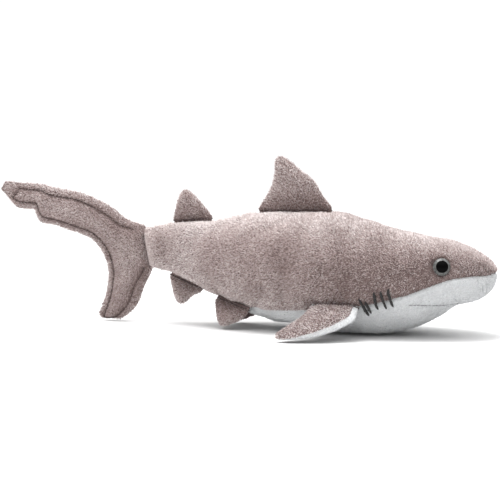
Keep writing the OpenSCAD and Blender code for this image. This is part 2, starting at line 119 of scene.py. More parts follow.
def curve(table, column, place):     # smooth through the rows, with no overshoot
    rows = np.array([row[0] for row in table], float)
    values = np.array([row[column] for row in table], float)
    rises = np.diff(values) / np.diff(rows)
    before, after = np.concatenate([rises[:1], rises]), np.concatenate([rises, rises[-1:]])
    both = before * after
    slopes = np.where(both > 0, 2 * both / np.where(both > 0, before + after, 1), 0)
    i = np.clip(np.searchsorted(rows, place, side="right") - 1, 0, len(rows) - 2)
    d = rows[i + 1] - rows[i]
    s = (place - rows[i]) / d
    return ((2 * s**3 - 3 * s**2 + 1) * values[i] + (s**3 - 2 * s**2 + s) * d * slopes[i]
            + (3 * s**2 - 2 * s**3) * values[i + 1] + (s**3 - s**2) * d * slopes[i + 1])


def mix(a, b, s):
    return a + (b - a) * s


def unit(v):
    return v / np.maximum(np.linalg.norm(v, axis=-1, keepdims=True), 1e-9)


def fade(distance, width, power=2):      # 1 at no distance, falling smoothly to 0
    return np.exp(-(distance / width)**power)


def quarterRound(s):      # rises like a quarter circle from 0 at s = 0 to 1 at s = 1
    return np.sqrt(np.clip(1 - (1 - np.minimum(s, 1))**2, 0, 1))


def mirrored(points):
    return points * np.array([1, -1, 1])


def seamAngle(place):
    start = seamAngles[0][0]
    return np.where(place < start, 180, curve(seamAngles, 1, np.maximum(place, start)))


def bodyPoint(place, angle, inset=0.0):    # a point on the right side, its angle counted from the top
    place, angle = np.broadcast_arrays(np.asarray(place, float), np.asarray(angle, float))
    a = np.radians(angle)
    past = np.maximum(place - shape["noseStart"], 0) / (1 - shape["noseStart"])
    noseRound = np.sqrt(np.clip(1 - past**2, 0, 1))
    top = mix(noseHeight, curve(stations, 1, place) * shape["height"] - inset, noseRound)
    bottom = mix(noseHeight, curve(stations, 2, place) * shape["height"] + inset, noseRound)
    half = (curve(stations, 3, place) * shape["width"] - inset) * noseRound
    half = half * quarterRound(place / shape["tailRound"])
    full = lambda x: np.sign(x) * np.abs(x)**shape["fullness"]
    z = (top + bottom) / 2 + (top - bottom) / 2 * full(np.cos(a))
    lean = (stockHeight - z) * shape["seamLean"] * np.maximum(0, 1 - place / 0.12)**2
    x = mix(seamX + inset, noseX - inset, place) + lean
    return np.stack([x, -half * full(np.sin(a)), z], -1)


def bodyNormal(place, angle):
    place = np.clip(place, 0.0006, 0.9994)
    across = bodyPoint(place, angle + 0.5) - bodyPoint(place, angle - 0.5)
    along = bodyPoint(place + 0.0005, angle) - bodyPoint(place - 0.0005, angle)
    return unit(np.cross(across, along))


def hills(points, size, seed):      # smooth random hills from -1 to 1, size in millimetres
    shift = Vector((seed * 7.3, seed * 3.1, seed * 5.7))
    found = [noise.noise(Vector(p) + shift) for p in points.reshape(-1, 3) / size]
    return np.array(found).reshape(points.shape[:-1])


def nearness(points, path, width):   # 1 on the path, fading to 0 a few widths away
    flat = points.reshape(-1, 3)
    a, ab = path[:-1], path[1:] - path[:-1]
    best = np.full(len(flat), 1e9)
    for start in range(0, len(flat), 4000):
        p = flat[start:start + 4000, None, :]
        t = np.clip(((p - a) * ab).sum(-1) / np.maximum((ab * ab).sum(-1), 1e-9), 0, 1)
        best[start:start + 4000] = np.linalg.norm(p - a - t[..., None] * ab, axis=-1).min(1)
    return fade(best, width).reshape(points.shape[:-1])


def meshObject(name, points, faces):    # points in millimetres
    data = bpy.data.meshes.new(name)
    data.from_pydata((np.asarray(points).reshape(-1, 3) * mm).tolist(), [], faces)
    data.update()
    data.shade_smooth()
    return shown(name, data)


def shown(name, data):
    made = bpy.data.objects.new(name, data)
    scene.collection.objects.link(made)
    return made


def gridFaces(rows, columns, flip=False):
    corners = [(i * columns + j, (i + 1) * columns + j) for i in range(rows - 1) for j in range(columns - 1)]
    return [(a, a + 1, b + 1, b) if flip else (a, b, b + 1, a + 1) for a, b in corners]


def ringFaces(rows, columns):      # every row closes on itself
    return [(i * columns + j, (i + 1) * columns + j, (i + 1) * columns + (j + 1) % columns,
             i * columns + (j + 1) % columns) for i in range(rows - 1) for j in range(columns)]


def pointValues(made, **layers):      # attributes on the points: vectors where there are three to a point
    for name, values in layers.items():
        values = np.asarray(values, np.float32)
        isVector = values.size == 3 * len(made.data.vertices)
        layer = made.data.attributes.new(name, "FLOAT_VECTOR" if isVector else "FLOAT", "POINT")
        layer.data.foreach_set("vector" if isVector else "value", values.ravel())


def dropLayers(made, *names):
    for name in names:
        if name in made.data.attributes:
            made.data.attributes.remove(made.data.attributes[name])


def edited(made, change):      # runs one change on the mesh
    work = bmesh.new()
    work.from_mesh(made.data)
    change(work)
    work.to_mesh(made.data)
    work.free()


def weld(made, distance=0.002):      # millimetres; closes poles and seams
    def close(work):
        bmesh.ops.remove_doubles(work, verts=work.verts, dist=distance * mm)
        bmesh.ops.dissolve_degenerate(work, edges=work.edges, dist=1e-7)
    edited(made, close)


def coordinates(data):
    found = np.empty(len(data.vertices) * 3)
    data.vertices.foreach_get("co", found)
    return found.reshape(-1, 3)


def plain(made, modifierName):       # the mesh as the modifier leaves it; the modifier goes
    made.data.update()
    data = bpy.data.meshes.new_from_object(made.evaluated_get(bpy.context.evaluated_depsgraph_get()))
    made.modifiers.remove(made.modifiers[modifierName])
    return data


def thicken(made, thickness):
    wall = made.modifiers.new("wall", "SOLIDIFY")
    wall.thickness, wall.offset = thickness * mm, -1
    wall.use_even_offset = False
    made.data = plain(made, "wall")


# stuffing: a copy of each stuffed form is blown up as cloth, held at its seams
stuffingCloth = {
    "quality": 6, "mass": 0.3, "tension_stiffness": 15, "compression_stiffness": 15, "shear_stiffness": 5,
    "bending_stiffness": 0.4, "vertex_group_mass": "held", "pin_stiffness": 1, "use_pressure": True}


def stuff(name, points, faces, held, voxel, pressure, slack):
    made = meshObject(name + "Stuffing", points, faces)
    weld(made, 0.01)
    remesh = made.modifiers.new("remesh", "REMESH")
    remesh.mode, remesh.voxel_size = "VOXEL", voxel * mm
    made.data = plain(made, "remesh")
    rest = coordinates(made.data)
    group = made.vertex_groups.new(name="held")
    for i, weight in enumerate(held(rest / mm)):
        group.add([i], float(weight), "REPLACE")
    cloth = made.modifiers.new("cloth", "CLOTH")
    for setting, value in stuffingCloth.items():
        setattr(cloth.settings, setting, value)
    cloth.settings.uniform_pressure_force = pressure
    cloth.settings.shrink_min = -slack
    cloth.settings.effector_weights.gravity = 0
    cloth.collision_settings.use_collision = False
    cloth.point_cache.frame_start, cloth.point_cache.frame_end = 1, 20
    for step in range(1, 21):
        scene.frame_set(step)
    moved = coordinates(made.evaluated_get(bpy.context.evaluated_depsgraph_get()).data)
    polygons = [tuple(p.vertices) for p in made.data.polygons]
    scene.frame_set(1)
    bpy.data.objects.remove(made)
    shift = (moved - rest) / mm
    print(name, "stuffed:", len(rest), "points, moved up to", round(float(np.abs(shift).max()), 2), "mm")
    return BVHTree.FromPolygons(rest.tolist(), polygons), rest, polygons, shift


def settled(points, stuffing, most):      # how the stuffing pushes the cloth out, no further than most
    if stuffing is None:
        return np.zeros_like(points)
    tree, rest, polygons, shift = stuffing
    flat = points.reshape(-1, 3)
    out = np.zeros_like(flat)
    for i, p in enumerate(flat):
        spot, _, face, _ = tree.find_nearest(Vector(p * mm))
        corners = list(polygons[face])
        share = 1 / (np.linalg.norm(rest[corners] - np.array(spot), axis=1) + 2e-4)**2
        out[i] = share @ shift[corners] / share.sum()
    length = np.linalg.norm(out, axis=1, keepdims=True)
    out *= most * np.tanh(length / most) / np.maximum(length, 1e-9)
    return out.reshape(points.shape)


def evened(field, times):      # takes the facets out of a field on a grid
    for _ in range(times):
        inner = field.copy()
        inner[1:-1] = (field[:-2] + 2 * field[1:-1] + field[2:]) / 4
        field = inner.copy()
        field[:, 1:-1] = (inner[:, :-2] + 2 * inner[:, 1:-1] + inner[:, 2:]) / 4
    return field


def plug(tree, sockets, name, value):      # a link or a fixed value
    if isinstance(value, bpy.types.NodeSocket):
        tree.links.new(value, sockets[name])
    elif value is not None:
        sockets[name].default_value = value


def addNode(tree, kind, inputs=None, **settings):
    node = tree.nodes.new(kind)
    for name, value in settings.items():
        setattr(node, name, value)
    for name, value in (inputs or {}).items():
        plug(tree, node.inputs, name, value)
    return node


def calculate(tree, operation, a, b=None, c=None):
    return addNode(tree, "ShaderNodeMath", {0: a, 1: b, 2: c}, operation=operation).outputs[0]


def carried(tree, name, kind="FLOAT"):      # an attribute that the cloth carries
    return addNode(tree, "GeometryNodeInputNamedAttribute", {"Name": name}, data_type=kind).outputs["Attribute"]


def chance(tree, low, high, seed):      # a random number, or a random vector where low and high are vectors
    if isinstance(low, tuple):
        return addNode(tree, "FunctionNodeRandomValue", {0: low, 1: high, "Seed": seed},
                       data_type="FLOAT_VECTOR").outputs[0]
    return addNode(tree, "FunctionNodeRandomValue", {2: low, 3: high, "Seed": seed}, data_type="FLOAT").outputs[1]


def combined(tree, operation, a, b, c=None):
    return addNode(tree, "ShaderNodeVectorMath", {0: a, 1: b, 2: c}, operation=operation).outputs[0]


def lying(tree, first, second, axes, turn):      # laid along two directions, then turned about its own axes
    lie = addNode(tree, "FunctionNodeAxesToRotation", {"Primary Axis": first, "Secondary Axis": second},
                  primary_axis=axes[0], secondary_axis=axes[1])
    euler = addNode(tree, "FunctionNodeEulerToRotation", {0: turn})
    return addNode(tree, "FunctionNodeRotateRotation", {0: lie.outputs[0], 1: euler.outputs[0]},
                   rotation_space="LOCAL").outputs[0]


def newTree(name, sizes):
    tree = bpy.data.node_groups.new(name, "GeometryNodeTree")
    tree.interface.new_socket("Geometry", in_out="INPUT", socket_type="NodeSocketGeometry")
    for label, kind, value in sizes:
        socket = tree.interface.new_socket(label, in_out="INPUT", socket_type="NodeSocket" + kind)
        if value is not None:
            socket.default_value = value
    tree.interface.new_socket("Geometry", in_out="OUTPUT", socket_type="NodeSocketGeometry")
    return tree, tree.nodes.new("NodeGroupInput").outputs


def grow(name, source, tree, values):      # runs a tree on a copy of source and keeps the plain mesh
    work = shown(name, source.data.copy())
    modifier = work.modifiers.new("grow", "NODES")
    modifier.node_group = tree
    for item in tree.interface.items_tree:
        if item.item_type == "SOCKET" and item.in_out == "INPUT" and item.name in values:
            modifier[item.identifier] = values[item.name]
    data = plain(work, "grow")
    bpy.data.objects.remove(work)
    print(name, len(data.polygons), "faces")
    return shown(name, data)


# the pile's tones run dark to light: picked at random they give the grain, picked by the painted light and shade
# they stand in for lit and shaded pile; the grey back is darker than its tufts, partly the roots' own colour and
# partly painted shade deep in the pile
finish = {
    "grey": {"slot": "plush_grey", "back": (0.165, 0.117, 0.109), "sheen": 1.0,
             "tones": [(0.205, 0.145, 0.136), (0.310, 0.233, 0.222), (0.415, 0.332, 0.319),
                       (0.500, 0.418, 0.405), (0.610, 0.537, 0.525), (0.740, 0.685, 0.675)]},
    "pale": {"slot": "plush_white", "back": (0.62, 0.63, 0.64), "sheen": 0.25,
             "tones": [(0.62, 0.628, 0.64), (0.65, 0.658, 0.668), (0.68, 0.687, 0.695),
                       (0.71, 0.716, 0.722), (0.74, 0.745, 0.75), (0.77, 0.775, 0.78)]},
}


def newMaterial(name, colour, roughness, gloss=None):
    material = bpy.data.materials.new(name)
    material.use_nodes = True
    shader = material.node_tree.nodes["Principled BSDF"]
    for socket, value in {"Base Color": (*colour, 1), "Roughness": roughness, **(gloss or {})}.items():
        shader.inputs[socket].default_value = value
    material.diffuse_color = (*colour, 1)
    return material, material.node_tree, shader


def flecks(tree, scale, detail=2):
    where = tree.nodes.new("ShaderNodeTexCoord").outputs["Object"]
    return addNode(tree, "ShaderNodeTexNoise", {"Vector": where, "Scale": scale, "Detail": detail}).outputs["Fac"]


def twoTone(tree, shader, amount, low, high, places=(0.3, 0.7)):
    ramp = addNode(tree, "ShaderNodeValToRGB", {"Fac": amount})
    for element, place, colour in zip(ramp.color_ramp.elements, places, (low, high)):
        element.position, element.color = place, (*colour, 1)
    tree.links.new(ramp.outputs["Color"], shader.inputs["Base Color"])


def share(colour, amount):
    return [min(1, c * amount) for c in colour]


def bumpy(tree, shader, height, strength, distance):
    bump = addNode(tree, "ShaderNodeBump", {"Height": height, "Strength": strength, "Distance": distance})
    tree.links.new(bump.outputs["Normal"], shader.inputs["Normal"])


def clothMaterial(name, colour, sheen):       # the knitted back of the plush, seen between the pile
    material, tree, shader = newMaterial(name, colour, 0.95, {"Sheen Weight": sheen, "Sheen Roughness": 0.3})
    grain = flecks(tree, 900)
    both = calculate(tree, "MULTIPLY_ADD", grain, 0.6, calculate(tree, "MULTIPLY", flecks(tree, 28), 0.4))
    twoTone(tree, shader, both, share(colour, 0.78), share(colour, 1.12))
    bumpy(tree, shader, grain, 0.6, 0.0006)
    return material


def pileMaterials(name, tones, sheen):
    gloss = {"Sheen Weight": sheen, "Sheen Roughness": 0.3, "Specular IOR Level": 0.25}
    return [newMaterial(f"{name} {i + 1}", tone, 0.75, gloss)[0] for i, tone in enumerate(tones)]


def threadMaterial(name, colour):
    material, tree, shader = newMaterial(name, colour, 0.7)
    fibres = flecks(tree, 2500)
    twoTone(tree, shader, fibres, share(colour, 0.6), share(colour, 1.4))
    bumpy(tree, shader, fibres, 0.5, 0.0003)
    return material


clothFinish = {c: clothMaterial(c + " plush back", f["back"], f["sheen"]) for c, f in finish.items()}
pileFinish = {c: pileMaterials(c + " pile", f["tones"], f["sheen"]) for c, f in finish.items()}
blackThread = threadMaterial("black thread", (0.012, 0.011, 0.011))
brownThread = threadMaterial("brown grey thread", (0.065, 0.046, 0.043))
softThread = threadMaterial("plush grey thread", (0.17, 0.13, 0.122))
paleThread = threadMaterial("pale thread", (0.30, 0.30, 0.31))

# the pile: short tufts that lie along the nap, sizes in metres, tufts to a square metre
pile = {
    "grey": {"Density": 3.1e6, "Length": 1.6 * mm, "Width": 0.66 * mm, "Lean": 0.80, "Clumps": 950.0,
             "Patches": 0.6},
    "pale": {"Density": 2.4e6, "Length": 1.7 * mm, "Width": 0.75 * mm, "Lean": 0.45, "Clumps": 500.0,
             "Patches": 0.3},
}
# what the cloth carries for its pile: direction, share of tufts, their length, lightness (tone with painted light
# and shade) and contrast
clothLayers = ("nap", "cover", "long", "tint", "grain")
middleShade = 0.71      # grain spreads the shades about this one
toneCount = len(finish["grey"]["tones"])


def pileTree():
    tree, given = newTree("pile", [
        ("Density", "Float", 2e6), ("Length", "Float", 0.0025), ("Width", "Float", 0.0004),
        ("Lean", "Float", 0.5), ("Clumps", "Float", 250.0), ("Patches", "Float", 0.5), ("Seed", "Int", 1)]
        + [(f"Tone {i + 1}", "Material", None) for i in range(toneCount)])
    spots = addNode(tree, "GeometryNodeDistributePointsOnFaces", {
        "Mesh": given["Geometry"], "Seed": given["Seed"],
        "Density": calculate(tree, "MULTIPLY", given["Density"], carried(tree, "cover"))},
        distribute_method="RANDOM")
    # neighbours lean together in clumps, and each tuft a little its own way
    clumps = addNode(tree, "ShaderNodeTexNoise", {"Scale": given["Clumps"], "Detail": 1.0})
    clump = combined(tree, "SUBTRACT", clumps.outputs["Color"], (0.5, 0.5, 0.5))
    own = chance(tree, (-0.7, -0.35, -1.0), (0.7, 0.35, 1.0), given["Seed"])
    turned = combined(tree, "MULTIPLY_ADD", clump, (1.2, 1.2, 2.5), own)
    raised = addNode(tree, "ShaderNodeCombineXYZ", {"Y": calculate(tree, "MULTIPLY", given["Lean"], -1.0)})
    rotation = lying(tree, spots.outputs["Normal"], carried(tree, "nap", "FLOAT_VECTOR"), "ZX",
                     combined(tree, "ADD", turned, raised.outputs[0]))
    # one tuft: a slim three-sided spike that points along +X
    spike = addNode(tree, "GeometryNodeMeshCone", {
        "Vertices": 3, "Radius Top": 0.0, "Radius Bottom": 0.5, "Depth": 1.0}, fill_type="NONE")
    size = addNode(tree, "ShaderNodeCombineXYZ", {"X": given["Width"], "Y": given["Width"], "Z": given["Length"]})
    tuft = addNode(tree, "GeometryNodeTransform", {
        "Geometry": spike.outputs[0], "Rotation": (0.0, math.pi / 2, 0.0), "Scale": size.outputs[0]})
    scale = calculate(tree, "MULTIPLY", chance(tree, 0.65, 1.2, 5), carried(tree, "long"))
    # its shade: by clump, by luck, by broad patches, and by the tone with painted light and shade that the cloth
    # carries
    patches = addNode(tree, "ShaderNodeTexNoise", {"Scale": 24.0, "Detail": 1.0}).outputs["Fac"]
    shade = calculate(tree, "MULTIPLY_ADD", clumps.outputs["Fac"], 0.8, chance(tree, 0.0, 0.62, 9))
    shade = calculate(tree, "SUBTRACT", shade, middleShade)
    shade = calculate(tree, "MULTIPLY_ADD", shade, carried(tree, "grain"), middleShade)
    shade = calculate(tree, "MULTIPLY_ADD", patches, given["Patches"], shade)
    shade = calculate(tree, "SUBTRACT", shade, calculate(tree, "MULTIPLY", given["Patches"], 0.5))
    shade = calculate(tree, "ADD", shade, carried(tree, "tint"))
    shade = calculate(tree, "MULTIPLY", calculate(tree, "SUBTRACT", shade, 0.2), 5.0)
    shade = calculate(tree, "MINIMUM", calculate(tree, "MAXIMUM", shade, 0.0), toneCount - 0.5)
    # every tuft is lit mostly as the cloth it stands on
    facing = combined(tree, "ADD", spots.outputs["Normal"], chance(tree, (-0.4, -0.4, -0.4), (0.4, 0.4, 0.4), 3))
    kept = spots.outputs["Points"]
    for name, kind, value in (("facing", "FLOAT_VECTOR", facing),
                              ("tone", "FLOAT", calculate(tree, "FLOOR", shade))):
        kept = addNode(tree, "GeometryNodeStoreNamedAttribute", {"Geometry": kept, "Name": name, "Value": value},
                       data_type=kind, domain="POINT").outputs[0]
    tufts = addNode(tree, "GeometryNodeInstanceOnPoints", {
        "Points": kept, "Instance": tuft.outputs[0], "Rotation": rotation, "Scale": scale})
    real = addNode(tree, "GeometryNodeRealizeInstances", {0: tufts.outputs[0]})
    dyed = addNode(tree, "GeometryNodeSetMeshNormal", {
        "Mesh": real.outputs[0], "Custom Normal": carried(tree, "facing", "FLOAT_VECTOR")},
        mode="FREE", domain="POINT")
    for i in range(toneCount):
        mine = addNode(tree, "FunctionNodeCompare", {0: carried(tree, "tone"), 1: float(i), "Epsilon": 0.1},
                       data_type="FLOAT", operation="EQUAL")
        dyed = addNode(tree, "GeometryNodeSetMaterial", {
            "Geometry": dyed.outputs[0], "Selection": mine.outputs[0], "Material": given[f"Tone {i + 1}"]})
    tree.links.new(dyed.outputs[0], tree.nodes.new("NodeGroupOutput").inputs[0])
    return tree


tuftTree = pileTree()


def growPile(name, cloth, colour, seed):
    tones = {f"Tone {i + 1}": material for i, material in enumerate(pileFinish[colour])}
    made = grow(name, cloth, tuftTree, {**pile[colour], "Seed": seed, **tones})
    dropLayers(made, "facing", "tone", *clothLayers)
    return made


def stitchTree():      # short lengths of thread set along a path on the cloth
    tree, given = newTree("stitches", [
        ("Spacing", "Float", 0.002), ("Length", "Float", 0.002), ("Thickness", "Float", 0.0005),
        ("Slant", "Float", 0.0), ("Jitter", "Float", 0.1), ("Seed", "Int", 1), ("Thread", "Material", None)])
    path = addNode(tree, "GeometryNodeMeshToCurve", {0: given["Geometry"]})
    places = addNode(tree, "GeometryNodeResampleCurve", {"Curve": path.outputs[0], "Length": given["Spacing"]},
                     mode="LENGTH")
    # every second stitch slants the other way
    index = tree.nodes.new("GeometryNodeInputIndex").outputs[0]
    odd = calculate(tree, "MULTIPLY_ADD", calculate(tree, "MODULO", index, 2.0), 2.0, -1.0)
    loose = chance(tree, calculate(tree, "MULTIPLY", given["Jitter"], -1.0), given["Jitter"], given["Seed"])
    slant = addNode(tree, "ShaderNodeCombineXYZ", {
        "Z": calculate(tree, "MULTIPLY_ADD", given["Slant"], odd, loose)})
    rotation = lying(tree, tree.nodes.new("GeometryNodeInputTangent").outputs[0],
                     carried(tree, "lift", "FLOAT_VECTOR"), "XZ", slant.outputs[0])
    bead = addNode(tree, "GeometryNodeMeshUVSphere", {"Segments": 8, "Rings": 6, "Radius": 1.0})
    size = addNode(tree, "ShaderNodeCombineXYZ", {
        axis: calculate(tree, "DIVIDE", given[length], 2.0)
        for axis, length in (("X", "Length"), ("Y", "Thickness"), ("Z", "Thickness"))})
    stitch = addNode(tree, "GeometryNodeTransform", {"Geometry": bead.outputs[0], "Scale": size.outputs[0]})
    sewn = addNode(tree, "GeometryNodeInstanceOnPoints", {
        "Points": places.outputs[0], "Instance": stitch.outputs[0], "Rotation": rotation,
        "Scale": chance(tree, 0.85, 1.15, 3)})
    real = addNode(tree, "GeometryNodeRealizeInstances", {0: sewn.outputs[0]})
    smooth = addNode(tree, "GeometryNodeSetShadeSmooth", {0: real.outputs[0]})
    dyed = addNode(tree, "GeometryNodeSetMaterial", {"Geometry": smooth.outputs[0], "Material": given["Thread"]})
    tree.links.new(dyed.outputs[0], tree.nodes.new("NodeGroupOutput").inputs[0])
    return tree


threadTree = stitchTree()


def sew(name, paths, lifts, thread, sizes):      # lengths in millimetres
    points, edges = [], []
    for path in paths:
        edges += [(len(points) + i, len(points) + i + 1) for i in range(len(path) - 1)]
        points += [tuple(p) for p in path * mm]
    data = bpy.data.meshes.new(name)
    data.from_pydata(points, edges, [])
    line = shown(name + "Line", data)
    pointValues(line, lift=np.concatenate(lifts))
    lengths = {key: sizes[key] * mm for key in ("Spacing", "Length", "Thickness")}
    made = grow(name, line, threadTree, {**sizes, **lengths, "Thread": thread})
    bpy.data.objects.remove(line)
    return made


def fasten(piece, body="body", bend=None, nodes=()):
    if bend:
        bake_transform(piece)
    else:
        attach(piece, body)
    if nodes:
        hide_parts(*nodes)


# where each fin is sewn on, and its outline
fins = {
    "height": {"firstDorsal": 38, "secondDorsal": 21.5, "anal": 17, "pelvic": 16.5, "pectoral": 38},
    "root": {"firstDorsal": 55, "secondDorsal": 30, "anal": 28.5, "pelvic": 31, "pectoral": 35},
    "thickness": 9, "pectoralThickness": 10, "pectoralDroop": 30, "pelvicSplay": 27, "pectoralFront": 0.665,
    "seam": 2, "clearance": 0.35, "lift": 0.5,
}


def frameOn(place0, angle0, place1, angle1, out):
    p, q = bodyPoint(place0, angle0), bodyPoint(place1, angle1)
    along = unit(q - p)
    out = np.array(out, float)
    out = unit(out - (out @ along) * along)
    s = np.linspace(0, 1, 9)
    bow = (bodyPoint(mix(place0, place1, s), mix(angle0, angle1, s)) - (p + s[:, None] * (q - p))) @ out
    return {"start": p + (bow.max() + fins["lift"]) * out, "along": along, "out": out,
            "across": np.cross(out, along), "root": float(np.linalg.norm(q - p)), "bow": float(bow.max())}


def makeFin(name, place, share, angles, out, tipRound, rows):      # rows: height, rear edge, front edge, as shares
    root, height = fins["root"][name], fins["height"][name]
    made = frameOn(place, angles[0], place + share * root / shape["length"], angles[1], out)
    foot = fins["seam"] / 2 + fins["clearance"]
    made["outline"] = [(u, rear * made["root"], mix(foot, height, u), front * made["root"], mix(foot, height, u))
                       for u, rear, front in rows]
    made.update(length=height, startRound=0, endRound=tipRound,
                thickness=fins["pectoralThickness"] if name == "pectoral" else fins["thickness"])
    return made


splay, droop = math.radians(fins["pelvicSplay"]), math.radians(fins["pectoralDroop"])
pectoralRear = fins["pectoralFront"] - fins["root"]["pectoral"] / shape["length"]
sewnFins = {
    "firstDorsal": makeFin("firstDorsal", 0.336, 1, (0, 0), (0, 0, 1), 0.16, [
        (0, 0, 1), (0.25, 0.115, 0.87), (0.5, 0.2, 0.77), (0.75, 0.23, 0.56), (1, 0.23, 0.38)]),
    "secondDorsal": makeFin("secondDorsal", 0.085, 1, (0, 0), (0, 0, 1), 0.26, [
        (0, 0, 1), (0.5, 0.11, 0.74), (1, 0.25, 0.46)]),
    "anal": makeFin("anal", 0.072, 0.93, (180, 180), (0, 0, -1), 0.32, [
        (0, 0, 1), (0.55, 0.22, 0.74), (1, 0.4, 0.66)]),
    "pelvic": makeFin("pelvic", 0.226, 0.91, (161, 147), (0, -math.sin(splay), -math.cos(splay)), 0.3, [
        (0, 0, 1), (0.4, 0.14, 0.89), (0.75, 0.29, 0.69), (1, 0.4, 0.6)]),
    "pectoral": makeFin("pectoral", pectoralRear, 1, (117, 113.5), (0, -math.cos(droop), -math.sin(droop)), 0.14, [
        (0, 0, 1), (0.27, -0.06, 1.02), (0.5, -0.2, 0.86), (0.7, -0.33, 0.6), (0.87, -0.43, 0.26),
        (1, -0.46, -0.12)]),
}

tailBottom, tailTop = bodyPoint(0, 180), bodyPoint(0, 0)
tailAxis = unit(tailTop - tailBottom)
tailBack = unit(np.array([-1.0, 0, 0]) + tailAxis[0] * tailAxis)
tailRoot = float(np.linalg.norm(tailTop - tailBottom))


def tailRow(u, rearX, rearZ, frontX, frontZ):
    drop = stockHeight + shape["tailDrop"]
    side = lambda z: stockHeight + z * (drop if z < 0 else shape["tailRise"])
    return (u, seamX + rearX * shape["tailReach"], side(rearZ), seamX + frontX * shape["tailReach"], side(frontZ))


def seamRow(u, rearX, rearZ, s):      # a row whose front edge is tucked into the body
    p = tailBottom + s * tailRoot * tailAxis - shape["tuck"] * tailBack
    return (*tailRow(u, rearX, rearZ, 0, 0)[:3], p[0], p[2])


# the tail fin, from its lower to its upper tip: shares of the reach behind the seam and of the
# drop or rise from the middle of the seam
tailOutline = [
    tailRow(0.00, -0.315, -0.985, -0.260, -1.00), tailRow(0.06, -0.325, -0.920, -0.172, -0.97),
    tailRow(0.12, -0.302, -0.800, -0.107, -0.88), tailRow(0.19, -0.277, -0.650, -0.050, -0.74),
    tailRow(0.27, -0.262, -0.500, -0.016, -0.54), seamRow(0.35, -0.255, -0.370, 0.06),
    seamRow(0.43, -0.262, -0.260, 0.50), seamRow(0.51, -0.285, -0.120, 0.94),
    tailRow(0.58, -0.330, 0.020, -0.120, 0.43), tailRow(0.64, -0.400, 0.150, -0.205, 0.58),
    tailRow(0.71, -0.525, 0.242, -0.320, 0.73), tailRow(0.78, -0.640, 0.320, -0.450, 0.845),
    tailRow(0.83, -0.715, 0.345, -0.575, 0.895), tailRow(0.86, -0.745, 0.440, -0.645, 0.930),
    tailRow(0.89, -0.762, 0.550, -0.700, 0.955), tailRow(0.95, -0.870, 0.565, -0.830, 0.980),
    tailRow(1.00, -1.000, 0.890, -0.965, 1.000)]
tailFin = {"start": np.zeros(3), "along": np.array([1.0, 0, 0]), "out": np.array([0, 0, 1.0]),
           "across": np.array([0, 1.0, 0]), "outline": tailOutline, "length": 165, "startRound": 0.1,
           "endRound": 0, "thickness": fins["thickness"], "root": tailRoot, "bow": 0}


def finEdges(fin, u, inset):        # rear and front edge at u, drawn in by inset, as (along, out) pairs
    margin = inset / fin["length"]
    w = mix(margin, 1 - margin, u) if fin is tailFin else np.clip(u, 0, 1) * (1 - margin)
    rear, front = (np.stack([curve(fin["outline"], column, w), curve(fin["outline"], column + 1, w)], -1)
                   for column in (1, 3))
    taper = np.ones_like(w)
    if fin["startRound"]:
        taper = taper * quarterRound(w / fin["startRound"])
    if fin["endRound"]:
        taper = taper * quarterRound((1 - w) / fin["endRound"])
    middle, half = (rear + front) / 2, (front - rear) / 2 * taper[..., None]
    size = np.linalg.norm(half, axis=-1, keepdims=True)
    keep = np.where(size > 2 * inset, 1 - inset / np.maximum(size, 1e-9), 0.5)
    return middle - half * keep, middle + half * keep


def bulge(s):
    return np.maximum(0, 1 - np.abs(2 * s - 1)**2.6)**0.75


def finPoint(fin, u, v, side, inset=0.5):     # u from root to tip (below 0 inside the body), v from rear to front
    u, v = np.broadcast_arrays(np.asarray(u, float), np.asarray(v, float))
    rear, front = finEdges(fin, np.maximum(u, 0), inset)
    p = rear + (front - rear) * v[..., None]
    if fin is tailFin:
        body, buried = bulge(u), 0
    else:
        body = np.where(u < 0, 0.54 + 0.3 * u, bulge(mix(0.1, 1, np.clip(u, 0, 1))))
        buried = np.minimum(u, 0)[..., None] * (fin["bow"] + shape["tuck"])
    thick = (fin["thickness"] / 2 - 0.5) * body * bulge(v) * side
    return (fin["start"] + p[..., :1] * fin["along"] + (p[..., 1:] + buried) * fin["out"]
            + thick[..., None] * fin["across"])


print("outlines ready")

eye = {"place": 0.877, "angle": 70, "yaw": 20, "pitch": 11, "diameter": 12, "pupil": 8.2, "bulge": 3.4, "sink": 0.6}
# upper and lower end of each stitched gill: place along the body, angle
gills = [(0.742, 93.5, 0.754, 114.2), (0.723, 95.8, 0.737, 116.2), (0.706, 95.8, 0.713, 116.2),
         (0.684, 107.8, 0.697, 119.5), (0.667, 103.5, 0.690, 124)]
mouth = {"corner": (0.80, 117), "front": 0.915, "depth": 1.0}

eyeSpot = bodyPoint(eye["place"], eye["angle"])
eyeTurn = np.array(Matrix.Rotation(math.radians(eye["yaw"] - 90), 3, "Z")
                   @ Matrix.Rotation(math.radians(90 - eye["pitch"]), 3, "Y"))
s = np.linspace(0, 1, 17)
mouthPlaces = mix(mouth["corner"][0], mouth["front"], np.sin(s * math.pi / 2))
mouthAngles = mix(mouth["corner"][1], 180, s**1.3)
mouthHalf = bodyPoint(mouthPlaces, mouthAngles, shape["pile"])
gillPaths = [bodyPoint(mix(g[0], g[2], s), mix(g[1], g[3], s), -0.4) for g in gills]
gillUps = [bodyNormal(mix(g[0], g[2], s), mix(g[1], g[3], s)) for g in gills]


def bothHalves(half):      # a line on the right side, carried on over the middle to the left side
    return np.vstack([half, mirrored(half)[-2::-1]])


def seamLine(angle, start, end, count=80):
    places = np.linspace(start, end, count)
    return bodyPoint(places, angle(places), shape["pile"])


def zero(u):
    return 0 * u


seamLines = [(seamLine(seamAngle, 0.24, 0.995), 1), (seamLine(zero, 0.005, 0.995), 0.8),
             (seamLine(lambda u: 0 * u + 180, 0.005, 0.24, 30), 1)]
rootLines = [fin["start"] + np.linspace(0, 1, 12)[:, None] * fin["root"] * fin["along"] - fin["bow"] * fin["out"]
             for fin in sewnFins.values()]


def onRight(points):      # left side points are brought over to the right side
    return np.where(points[..., 1:2] > 0, mirrored(points), points)


